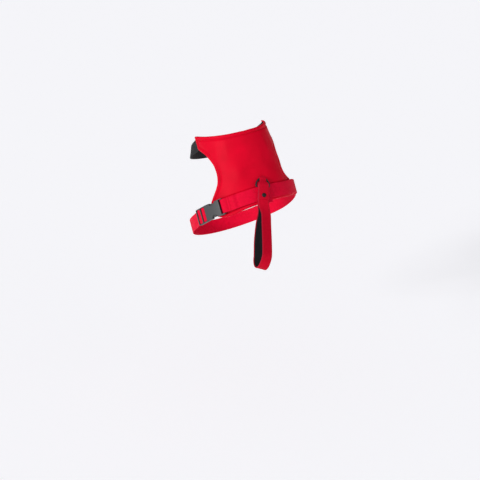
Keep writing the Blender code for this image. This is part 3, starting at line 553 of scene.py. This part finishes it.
# %% A grid between the panel's four sides
PANEL_ACROSS, PANEL_ALONG, GRID_STEP = 170, 150, 2.6
PRESSED_ROWS = np.arange(0.135, 0.29, 0.006)  # shares of the length, finer where the strap presses


def blended(u, v, corner):
    """A point of the flat panel, between its four sides (a Coons patch)."""
    def along(points, t):
        x = t * (len(points) - 1)
        i = min(int(x), len(points) - 2)
        return points[i].lerp(points[i + 1], x - i)

    def side(points, end):
        if v <= 1 - corner:
            return along(points, v / (1 - corner))
        return points[-1].lerp(end, (v - 1 + corner) / corner)

    ends = along(bottom, u).lerp(along(neckline, u), v)
    blend = bottom[0].lerp(bottom[-1], u).lerp(neckline[0].lerp(neckline[-1], u), v)
    return side(left, SHOULDER_ENDS[0]).lerp(side(right, SHOULDER_ENDS[1]), u) + ends - blend


def spaced(length, step):
    """Positions from 0 to 1 along a side: close together in both hems, even between."""
    near = [d / length for d, _ in FACE[:-1]]
    count = round(length * (1 - 2 * near[-1]) / step)
    return near + list(np.linspace(near[-1], 1 - near[-1], count + 1)[1:-1]) + [1 - t for t in reversed(near)]


shoulder = (SHOULDER_ENDS[0] - left[-1]).length
corner = shoulder / (length_of(left) + shoulder)
us = spaced(PANEL_ACROSS, GRID_STEP)
vs = sorted(spaced(PANEL_ALONG, GRID_STEP) + [1 - corner] + list(PRESSED_ROWS))
flat = [[blended(u, v, corner) for u in us] for v in vs]
print("the grid is", len(us), "by", len(vs))

# %% The panel
outer = [place(p.x * MM, p.y * MM, (face_height(p) + crease_height(p)) * MM) for row in flat for p in row]
inner = [place(p.x * MM, p.y * MM, crease_height(p) * MM) for row in flat for p in row]
n, m, count = len(us), len(vs), len(outer)
faces = []
for i in range(m - 1):
    for j in range(n - 1):
        q = (i * n + j, i * n + j + 1, (i + 1) * n + j + 1, (i + 1) * n + j)
        faces += [q, tuple(count + k for k in reversed(q))]
rim = list(range(n)) + [i * n + n - 1 for i in range(1, m)]
rim += [(m - 1) * n + j for j in range(n - 2, -1, -1)] + [i * n for i in range(m - 2, 0, -1)]
faces += [(b, a, a + count, b + count) for a, b in zip(rim, rim[1:] + rim[:1])]
panel = new_piece("softshell_panel", outer + inner, faces, softshell)
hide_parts("back_panel")
print("the panel has", len(faces), "faces")

# %% The panel's topstitching
def inset(points, distance):
    """A flat line moved to the left of its direction."""
    made = []
    for k, p in enumerate(points):
        ahead = (points[min(k + 1, len(points) - 1)] - points[max(k - 1, 0)]).normalized()
        made.append(p + Vector((-ahead.y, ahead.x)) * distance)
    return [q for q in made if edge_distance(q) > distance - 0.3]


SEAM_IN, THREAD_ABOVE_FOAM = 7.0, 0.12
rows = []
for line in (inset(list(reversed(left)), SEAM_IN), inset(right, SEAM_IN), inset(bottom, SEAM_IN),
             inset(list(reversed(neckline)), SEAM_IN)):
    row = []
    for p in line:
        h = (face_height(p) + crease_height(p) + THREAD_ABOVE_FOAM) * MM
        row.append(stitch_point(place, p.x * MM, p.y * MM, h))
    rows.append(row)
panel_seams = stitches("softshell_seams", rows, red_thread)
print("rows of stitches on the panel:", len(rows))

# %% [markdown]
# ## The girth strap
# One tape does the whole round. Its sewn end lies under the buckle, turns over the buckle's end bar and
# comes back as a second layer. It crosses the panel, goes round underneath and is woven through the ladder
# of the buckle's other half, where its length is set.

# %% The girth strap's sizes
SEAM_GAP, WEBBING = 0.3 * MM, 1.6 * MM
ON_PANEL = 3.0 * MM + SEAM_GAP
STRAP_MID = ON_PANEL + WEBBING / 2
STRAP_TOP = ON_PANEL + WEBBING
BARE_MID = SEAM_GAP + WEBBING / 2
BUCKLE_RIGHT, BUCKLE_SEAM, BUCKLE_BASE = -70.9 * MM, -108.0 * MM, ON_PANEL + 0.2 * MM
END_BAR, BAR_MID = 2.4 * MM, 3.4 * MM
FRAME_WALL, LADDER_SLOT, LADDER_BAR, LADDER_BAR_THICK = 1.6 * MM, 9.6 * MM, 2.0 * MM, 1.9 * MM
FRAME_HIGH = 5.8 * MM
print(f"the strap's face is {STRAP_TOP * 1000:.1f} mm above the figure")

# %% Its route round the figure
# Columns: round the girth, height above the second layer's place, in millimetres
UPPER_LAYER = [(-66, 2.0), (-63.8, 0.8), (-62, 0.9), (-60, -0.15), (-58, 0.2), (-56, 0), (-52.2, 0)]
second = STRAP_MID + WEBBING + SEAM_GAP
bar_arc, bar_h = BUCKLE_RIGHT - END_BAR / 2, BUCKLE_BASE + BAR_MID
turn_r = END_BAR * 0.71 + SEAM_GAP + WEBBING / 2  # the bar is square, and 0.71 is half its diagonal
route = [(a * MM, STRAP_MID) for a in (-53, -58.5, -64)]
route += [(bar_arc - turn_r * math.sin(a), bar_h - turn_r * math.cos(a)) for a in np.linspace(0, math.pi, 9)]
route += [(bar_arc + 3 * MM, bar_h + turn_r - 0.5 * MM)]
route += [(a * MM, second + h * MM) for a, h in UPPER_LAYER] + [(-47.6 * MM, STRAP_MID)]
route += [(a * MM, STRAP_MID) for a in range(-42, 103, 8)]
route += [(108 * MM, BARE_MID + 1.4 * MM), (116 * MM, BARE_MID)]
end = girth + BUCKLE_SEAM - SEAM_GAP - FRAME_WALL - 2 * (LADDER_SLOT + LADDER_BAR)
route += [(a, BARE_MID) for a in np.linspace(128 * MM, end - 22 * MM, 40)]
print("points so far:", len(route))

# %% Its way through the ladder, and the strap
low = BUCKLE_BASE + FRAME_HIGH - LADDER_BAR_THICK - SEAM_GAP - WEBBING / 2
high = low + LADDER_BAR_THICK
route += [(end - 10 * MM, BARE_MID + 2.2 * MM), (end - 3 * MM, low - 0.8 * MM)]
bar, under = end + LADDER_BAR / 2, LADDER_BAR / 2 + 0.5 * MM
for k in range(2):
    slot = bar + LADDER_BAR / 2 + LADDER_SLOT / 2
    route += [(bar - under, low), (bar + under, low), (slot - 2.2 * MM, high), (slot + 2.2 * MM, high)]
    bar += LADDER_BAR + LADDER_SLOT
fold = bar - LADDER_BAR / 2 - WEBBING / 2 - SEAM_GAP
FOLDED_END = [(-0.4, 0.2), (-0.2, -1.0), (-2.4, -2.5), (-8, -2.8), (-14, -3.0)]
route += [(fold + a * MM, low + h * MM) for a, h in FOLDED_END]
girth_line = curve_through(route, 4)
girth_strap = tape("girth_webbing", girth_line, WEBBING_WIDTH, WEBBING, place_on_girth, strap_red)
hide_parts("girth_strap")

# %% Stitches across the girth strap
STITCHED_HALF, FACE_LIFT = 10.6 * MM, 0.08 * MM
# Places of the rows, in millimetres round the girth, where the tape is double and where it is single
DOUBLE_ROWS, SINGLE_ROWS = (-63.8, -60.0, -53.4), (-16.0, 16.0, 88.0, 90.0)


def across_strap(arc, h):
    up = stitch_point(place_on_girth, arc, 0, h)[1]
    return [(place_on_girth(arc, x, h), up) for x in np.linspace(-STITCHED_HALF, STITCHED_HALF, 12)]


def strap_face(arc):
    """Height of the upper layer's face where the tape is double."""
    return second + float(np.interp(arc, *zip(*UPPER_LAYER))) * MM + WEBBING / 2


rows = [across_strap(a * MM, strap_face(a) + FACE_LIFT) for a in DOUBLE_ROWS]
rows += [across_strap(a * MM, STRAP_TOP + FACE_LIFT) for a in SINGLE_ROWS]
strap_seams = stitches("girth_seams", rows, red_thread)
print("rows of stitches across the strap:", len(rows))

# %% [markdown]
# ## The buckle
# A side-release buckle is two mouldings. The half with the body takes the two prongs of the other half,
# and the prongs show in its side notches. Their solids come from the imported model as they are. A moulding
# has no sharp edge, so a Weld closes the split corners and a small Bevel rounds the edges.

# %% Soft edges and plastic for the buckle
MOULDED_RADIUS, SAME_POINT = 0.3 * MM, 0.01 * MM
for name in ("buckle_female", "buckle_male"):
    part = nodes[name]
    part.data.materials.clear()
    part.data.materials.append(acetal)
    weld = part.modifiers.new("weld", "WELD")
    weld.merge_threshold = SAME_POINT
    rounded = part.modifiers.new("moulded edges", "BEVEL")
    rounded.width = MOULDED_RADIUS
    rounded.segments = 2
    rounded.limit_method = "ANGLE"
    rounded.angle_limit = math.radians(50)
    rounded.use_clamp_overlap = True
    rounded.harden_normals = True
print("both halves are of", acetal.name)

# %% [markdown]
# ## The D ring
# The ring is one bent wire with its ends welded in the straight bar. A tube along a closed curve gives the
# wire, with more steps than the solid has, so that its highlight runs smoothly round the bow.

# %% The D ring
ON_STRAP, TAB, WIRE, LEASH = STRAP_TOP + SEAM_GAP, 1.2 * MM, 1.5 * MM, 1.4 * MM
RING_BAR_S, RING_HALF_WIDTH, RING_LENGTH, RING_CORNER = 10.5 * MM, 11.2 * MM, 15.5 * MM, 1.6 * MM
RING_TURN = math.radians(18)
RING_BAR_H = ON_STRAP + TAB + SEAM_GAP + WIRE
RING_BOW_H = ON_PANEL + LEASH + 0.4 * MM + WIRE


def ring_place(across, up, h, turn=RING_TURN):
    """A place given across the ring's bar and up from it; the ring is turned in line with the hand loop."""
    lean = RING_TURN if up > 0 else 0
    return place(across * math.cos(turn) + up * math.sin(lean),
                 RING_BAR_S - across * math.sin(turn) + up * math.cos(lean), h)


def bow_height(across):
    """How far above the bar the wire is at a distance across from the ring's middle."""
    return RING_CORNER + (RING_LENGTH - RING_CORNER) * math.sqrt(max(1 - (across / RING_HALF_WIDTH) ** 2, 0))


flat_ring = [(x, 0.0) for x in np.linspace(-1, 1, 17) * (RING_HALF_WIDTH - RING_CORNER)]
corner_line = [(RING_HALF_WIDTH - RING_CORNER * (1 - math.sin(a)), RING_CORNER * (1 - math.cos(a)))
               for a in [math.pi / 2 * k / 6 for k in range(1, 6)]]
flat_ring += corner_line
for k in range(65):
    x = RING_HALF_WIDTH * math.cos(math.pi * k / 64)
    flat_ring.append((x, bow_height(x)))
flat_ring += [(-x, up) for x, up in reversed(corner_line)]
wire = bpy.data.curves.new("ring_wire", "CURVE")
wire.dimensions = "3D"
wire.bevel_depth = WIRE
wire.bevel_resolution = 5
spline = wire.splines.new("POLY")
spline.points.add(len(flat_ring) - 1)
spline.use_cyclic_u = True
for point, (x, up) in zip(spline.points, flat_ring):
    height = RING_BAR_H + (RING_BOW_H - RING_BAR_H) * up / RING_LENGTH
    point.co = (*ring_place(x, up, height), 1.0)
wire.materials.append(coated_steel)
ring = bpy.data.objects.new("ring_wire", wire)
link(ring)
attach(ring, "root")
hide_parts("d_ring")
print("points along the wire:", len(flat_ring))

# %% [markdown]
# ## The ring's tab
# A short, thin tape is folded round the straight bar and sewn down over the strap with a box of stitches.

# %% The tab
TAB_WIDTH, TAB_LENGTH, TAB_STRAIGHT_FROM = 18 * MM, 30.5 * MM, 16 * MM
TAB_ROWS, TAB_SEAM = (-28.0, -17.5), 7.2  # millimetres up from the bar, and across
tab_flat = (-TAB_LENGTH, -24.5 * MM, -18.5 * MM, -12.5 * MM)
tab_under = ON_STRAP + TAB / 2
tab_over = tab_under + TAB + SEAM_GAP
tab_r = WIRE + SEAM_GAP + TAB / 2
route = [(up, tab_under) for up in (*tab_flat, -6 * MM)]
route += [(tab_r * math.cos(a), RING_BAR_H + tab_r * math.sin(a))
          for a in np.linspace(-math.pi / 2, math.pi / 2, 9)]
route += [(-3 * MM, RING_BAR_H + tab_r - 1.0 * MM), (-8 * MM, tab_over + 0.4 * MM)]
route += [(up, tab_over) for up in reversed(tab_flat)]


def place_tab(up, across, h):
    return ring_place(across, up, h, RING_TURN * (1 - smooth(-up / TAB_STRAIGHT_FROM)))


tab_line = curve_through(route, 4)
tab = tape("ring_tab", tab_line, TAB_WIDTH, TAB, place_tab, strap_red)
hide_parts("d_ring_tab")


def on_tab(across, up):
    return stitch_point(place_tab, up * MM, across * MM, tab_over + TAB / 2 + FACE_LIFT)


rows = [[on_tab(x, up) for x in np.linspace(-TAB_SEAM, TAB_SEAM, 10)] for up in TAB_ROWS]
rows += [[on_tab(x, up) for up in np.linspace(*TAB_ROWS, 8)] for x in (-TAB_SEAM, TAB_SEAM)]
tab_seams = stitches("tab_seams", rows, red_thread)
print(f"the tab is {length_of(tab_line) * 1000:.0f} mm of tape")

# %% [markdown]
# ## The hand loop
# The loop is one red tape. It starts as a flap, goes up over the ring's bow and back down behind itself,
# hangs, bends up again and ends under the flap, where a snap holds the three layers. Its frame is a line
# down from the ring: first along the figure, then hanging away from it and turning a little to one side.

# %% The line that the loop hangs on
STEM_LENGTH, STEM_SLANT = 50 * MM, math.radians(17)
STEM_TOP_S, STEM_TOP_ARC = 29.0 * MM, 5.6 * MM
HANG_SLOPE, HANG_AZIMUTH, HANG_TWIST = math.radians(50), math.radians(-116.5), math.radians(29)
HANG_DRIFT, HANG_BLEND, HANG_LENGTH, BACK_ROUND = 0.13, 25 * MM, 135 * MM, 84 * MM
line = []
for k in range(int(STEM_LENGTH / MM) + 1):
    run = k * MM
    s = STEM_TOP_S - run * math.cos(STEM_SLANT)
    point, normal = frame_at(angle_at(STEM_TOP_ARC - run * math.sin(STEM_SLANT), s), s)
    line.append((to_world(point), to_world(normal)))
down = (line[-1][0] - line[-2][0]).normalized()
stem_normal, point = line[-1][1], line[-1][0]
level = Vector((math.cos(HANG_AZIMUTH), math.sin(HANG_AZIMUTH), 0))
aside = Vector((level.y, -level.x, 0)) * HANG_DRIFT
hang = (level * math.cos(HANG_SLOPE) + aside - Vector((0, 0, 1)) * math.sin(HANG_SLOPE)).normalized()
face = level * math.sin(HANG_SLOPE) + Vector((0, 0, 1)) * math.cos(HANG_SLOPE)
hang_normal = face * math.cos(HANG_TWIST) - hang.cross(face) * math.sin(HANG_TWIST)
for k in range(int(HANG_LENGTH / MM)):
    share = smooth(k * MM / HANG_BLEND)
    point = point + down.lerp(hang, share).normalized() * MM
    line.append((point.copy(), stem_normal.lerp(hang_normal, share).normalized()))
loop_frames = []
for k, (point, normal) in enumerate(line):
    ahead = line[min(k + 1, len(line) - 1)][0] - line[max(k - 1, 0)][0]
    width = normal.cross(ahead).normalized()
    loop_frames.append((point, ahead.cross(width).normalized(), width))
print("steps along the loop's line:", len(loop_frames))

# %% The hand loop's tape
# Columns: run down from the ring, height of the tape's middle, in millimetres
FLAP = [(44, 15.0), (39, 15.0), (33, 14.9), (27, 14.6), (21.5, 14.3), (17, 14.0), (13, 12.6), (9.5, 10.8),
        (7, 9.8)]
BACK_LEG = [(8.4, 4.2), (11.5, 6.8), (14.5, 10.4), (17.5, 12.3), (21.5, 12.3), (26, 11.4), (30, 10.7),
            (34, 10.2), (40, 9.2), (50, 8.9), (62, 5.2), (80, 0.6), (100, 0.4), (120, 2.4), (136, 6.0),
            (147, 8.4)]
FRONT_LEG = [(147, 39.2), (136, 36.6), (120, 31.8), (100, 25.4), (80, 19.2), (62, 14.9), (50, 13.6),
             (42, 13.3), (34, 13.1)]
LOOP_BEND, LOOP_BEND_LENGTH = 147, 22
BOW_RUN, BOW_STRETCH, BOW_CLEARANCE = 3.8, 1.25, 0.1
GATHERED, GATHER_FROM, GATHER_END, ARCH_FROM, ARCH_END = 0.66, 6 * MM, 18 * MM, 8 * MM, 14 * MM
DROOP_OVER = 30 * MM


def on_loop(run, across, h):
    """A point of the loop. At the ring the tape is gathered and follows the round of the bow."""
    x = min(max(run / MM, 0), len(loop_frames) - 1.001)
    i = int(x)
    a, b = loop_frames[i], loop_frames[i + 1]
    point, normal, side = (a[k].lerp(b[k], x - i) for k in range(3))
    gathered = 1 - smooth((run - GATHER_FROM) / (GATHER_END - GATHER_FROM))
    across *= 1 - (1 - GATHERED) * gathered
    droop = (1 - smooth((run - STEM_LENGTH) / DROOP_OVER)) * across * across / (2 * BACK_ROUND)
    arch = 1 - smooth((run - ARCH_FROM) / (ARCH_END - ARCH_FROM))
    onwards = min(run, 0) + (RING_LENGTH - bow_height(across)) * arch
    ahead = side.cross(normal).normalized()
    return point + ahead * onwards + side.normalized() * across + normal.normalized() * (h - droop)


bow, turn = RING_BOW_H / MM, (WIRE + SEAM_GAP + LEASH / 2) / MM + BOW_CLEARANCE
over_wire = [(BOW_RUN - BOW_STRETCH * turn * math.sin(a), bow + turn * math.cos(a))
             for a in np.linspace(0, math.pi, 13)]
first = curve_through(FLAP + over_wire[:1], 6)[:-1] + [Vector(p) for p in over_wire[:-1]]
back_leg = curve_through(over_wire[-1:] + BACK_LEG, 6)
middle = (BACK_LEG[-1][1] + FRONT_LEG[0][1]) / 2
half = (FRONT_LEG[0][1] - BACK_LEG[-1][1]) / 2
bend = [Vector((LOOP_BEND + LOOP_BEND_LENGTH * math.sin(a), middle - half * math.cos(a)))
        for a in np.linspace(0, math.pi, 31)[1:-1]]
loop_line = [p * MM for p in first + back_leg + bend + curve_through(FRONT_LEG, 6)]
hand_loop = tape("hand_loop", loop_line, LOOP_WIDTH, LEASH, on_loop, loop_red)
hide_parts("leash_loop")

# %% [markdown]
# ## The loop's lining
# A narrower black tape is sewn inside the loop, so that the hand rests on a softer face. It follows the
# red tape's inner side, one thickness away.

# %% The lining
LINING, LINING_WIDTH, LINING_START = 1.0 * MM, 17 * MM, 38 * MM
inward = LEASH / 2 + SEAM_GAP + LINING / 2
inner_line, outer_line = [], []
for before, p, after in zip(loop_line, loop_line[1:], loop_line[2:]):
    ahead = (after - before).normalized()
    inner_line.append((p, p + Vector((-ahead.y, ahead.x)) * inward))
    outer_line.append((p, p - Vector((-ahead.y, ahead.x)) * (LEASH / 2 + FACE_LIFT)))
deep = max(range(len(inner_line)), key=lambda k: inner_line[k][0].x)
start = max(k for k in range(deep) if inner_line[k][0].x < LINING_START)
stop = min(k for k in range(deep, len(inner_line)) if inner_line[k][0].x < LINING_START + MM)
lined = [p for _, p in inner_line[start + 1:stop]]
lining = tape("loop_lining", lined, LINING_WIDTH, LINING, on_loop, strap_black)
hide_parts("leash_lining")
print(f"the lining is {length_of(lined) * 1000:.0f} mm of tape")

# %% The loop's stitches
LOOP_SEAM, CAP_ROWS = 7.4 * MM, (42 * MM, 30 * MM)


def loop_stitch_row(points, across):
    """A row on the loop's outer side, from pairs of the tape's middle and its face."""
    row = []
    for p, q in points:
        point = on_loop(q.x, across, q.y)
        row.append((point, point - on_loop(p.x, across, p.y)))
    return row


rows = [loop_stitch_row(outer_line[start + 1:stop], x) for x in (-LOOP_SEAM, LOOP_SEAM)]
for x in (-LOOP_SEAM, LOOP_SEAM):
    rows.append([stitch_point(on_loop, p.x, x, p.y + LEASH / 2 + FACE_LIFT) for p in loop_line[4:30]])
for run in CAP_ROWS:
    middle_h = float(np.interp(run / MM, (27, 33, 44), (14.6, 14.9, 15.0))) * MM  # as in FLAP
    h = middle_h + LEASH / 2 + FACE_LIFT
    rows.append([stitch_point(on_loop, run, x, h) for x in np.linspace(-LOOP_SEAM, LOOP_SEAM, 9)])
loop_seams = stitches("hand_loop_seams", rows, red_thread)
print("rows of stitches on the loop:", len(rows))

# %% [markdown]
# ## The snap
# The snap's cap is a small turned dome with a rolled rim, pressed through the tape. A profile turned with
# a Screw modifier is how a turned part is drawn.

# %% The snap
SNAP_RUN, SNAP_R, SNAP_H, FLAP_H = 37, 3.8 * MM, 1.8 * MM, 15.0 * MM
# Columns: distance from the axis and height, as shares of the cap's radius and height
DOME = [(1, 0), (1, 0.22), (0.97, 0.38), (0.9, 0.5), (0.84, 0.52), (0.76, 0.66), (0.6, 0.84), (0.4, 0.95),
        (0.2, 0.99), (0, 1)]
point, normal, side = loop_frames[SNAP_RUN]
mesh = bpy.data.meshes.new("snap_cap")
edges = [(i, i + 1) for i in range(len(DOME) - 1)]
mesh.from_pydata([(SNAP_R * r, 0, SNAP_H * z) for r, z in DOME], edges, [])
mesh.materials.append(black_enamel)
cap = bpy.data.objects.new("snap_cap", mesh)
link(cap)
screw = cap.modifiers.new("turned", "SCREW")
screw.axis = "Z"
screw.steps = screw.render_steps = 48
screw.use_merge_vertices = True
screw.merge_threshold = SAME_POINT
screw.use_smooth_shade = True
axes = Matrix((side, normal.cross(side), normal)).transposed()
cap.matrix_world = Matrix.Translation(point + normal * (FLAP_H + LEASH / 2 + SEAM_GAP)) @ axes.to_4x4()
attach(cap, "root")
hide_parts("leash_snap")
print("the cap is", SNAP_R * 2000, "mm across")

# %% [markdown]
# ## The neck strap
# A black tape is sewn under both shoulder ends of the panel and goes round the figure's neck. In front the
# figure widens below the neck, so the tape tilts there and lies on a cone.

# %% The neck strap
NECK_S, NECK_WIDTH, NECK_START = 124.5 * MM, 20 * MM, 88 * MM
FRONT_DEPTH, FRONT_SPREAD, NECK_TILT = 88 * MM, 15 * MM, math.radians(32)
FREE_START, FREE_SPAN = math.radians(16), math.radians(45)
a_neck, b_neck, neck_centre = section(NECK_S)
neck_start = angle_at(NECK_START, NECK_S)


def on_neck(angle, across, h):
    from_end = min(angle - neck_start, 2 * math.pi - neck_start - angle)
    free = smooth((from_end - FREE_START) / FREE_SPAN)
    half_width = a_neck + FRONT_SPREAD * free
    depth = b_neck + (FRONT_DEPTH - b_neck) * free
    point = Vector((half_width * math.sin(angle), NECK_S, neck_centre + depth * math.cos(angle)))
    outward = Vector((math.sin(angle) / half_width, 0, math.cos(angle) / depth)).normalized()
    tilt = NECK_TILT * free
    width = Vector((0, 1, 0)) * math.cos(tilt) - outward * math.sin(tilt)
    raised = outward * math.cos(tilt) + Vector((0, 1, 0)) * math.sin(tilt)
    return to_world(point - outward * (SEAM_GAP + WEBBING / 2) + width * across + raised * h)


neck_line = [Vector((a, 0)) for a in np.linspace(neck_start, 2 * math.pi - neck_start, 180)]
neck_length = length_of([on_neck(p.x, 0, 0) for p in neck_line])
neck_strap = tape("neck_webbing", neck_line, NECK_WIDTH, WEBBING, on_neck, strap_black)
sweep = 2 * math.pi - 2 * neck_start
for place_uv in neck_strap.data.uv_layers["tape"].data:
    place_uv.uv = (place_uv.uv[0] / sweep * neck_length, place_uv.uv[1])
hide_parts("neck_strap")
print(f"the neck strap is {neck_length * 1000:.0f} mm of tape")

# %% [markdown]
# ## Floor and light
# The photograph has a pale studio with a large soft light on the left and a darker room on the right, which
# the sky here copies as a smooth change from one side to the other. The floor is plain and glows a little,
# as a lit studio base does; the harness keeps its height above it, as if it were worn.

# %% Floor
FLOOR_HEIGHT, FLOOR_REACH, FLOOR_GLOW = -0.46, 60, 0.37  # metres, metres, emission
floor_material, tree, shader = new_material(
    "painted studio floor, matte", 0.9, Base_Color=srgb("#E6E6E8"), Emission_Color=srgb("#FCFCFF"),
    Emission_Strength=FLOOR_GLOW)
shape = bmesh.new()
bmesh.ops.create_grid(shape, x_segments=2, y_segments=2, size=FLOOR_REACH)
floor_mesh = bpy.data.meshes.new("floor")
shape.to_mesh(floor_mesh)
shape.free()
floor_mesh.materials.append(floor_material)
floor = bpy.data.objects.new("floor", floor_mesh)
link(floor)
floor.location.z = FLOOR_HEIGHT
print("made", floor_material.name)

# %% Sky
BRIGHT_SIDE = Vector((-0.78, -0.36, 0.51))
DARK_SKY, BRIGHT_SKY = 0.12, 0.72
world = bpy.data.worlds.new("studio")
bpy.context.scene.world = world
world.use_nodes = True
tree = world.node_tree
sky = tree.nodes["Background"]
sky.inputs["Color"].default_value = srgb("#FBFBFF")
direction = add(tree, "ShaderNodeTexCoord").outputs["Generated"]
side_of_sky = add(tree, "ShaderNodeVectorMath", {0: direction, 1: BRIGHT_SIDE}, operation="DOT_PRODUCT")
softbox = add(tree, "ShaderNodeMapRange", {"Value": side_of_sky.outputs["Value"], "From Min": -0.5,
                                           "From Max": 1.0, "To Min": DARK_SKY, "To Max": BRIGHT_SKY},
              interpolation_type="SMOOTHSTEP")
tree.links.new(softbox.outputs["Result"], sky.inputs["Strength"])
print("the sky's strength goes from", DARK_SKY, "to", BRIGHT_SKY)

# %% Lamps
def broad_lamp(name, towards, strength, spread):
    """A lamp so large and far away that it lights the harness and the whole floor alike."""
    data = bpy.data.lights.new(name, "SUN")
    data.energy = strength
    data.angle = math.radians(spread)
    lamp = bpy.data.objects.new(name, data)
    link(lamp)
    lamp.rotation_euler = (-Vector(towards)).to_track_quat("-Z", "Y").to_euler()
    return lamp


key = broad_lamp("key light", (-0.86, -0.32, 0.44), 1.5, 12)
fill = broad_lamp("fill light", (0.5, -0.8, 0.5), 0.3, 50)
bpy.context.scene.view_settings.view_transform = "Standard"
print("lamps:", [lamp.name for lamp in (key, fill)])

# %% [markdown]
# ## The end


print("the scene is built")
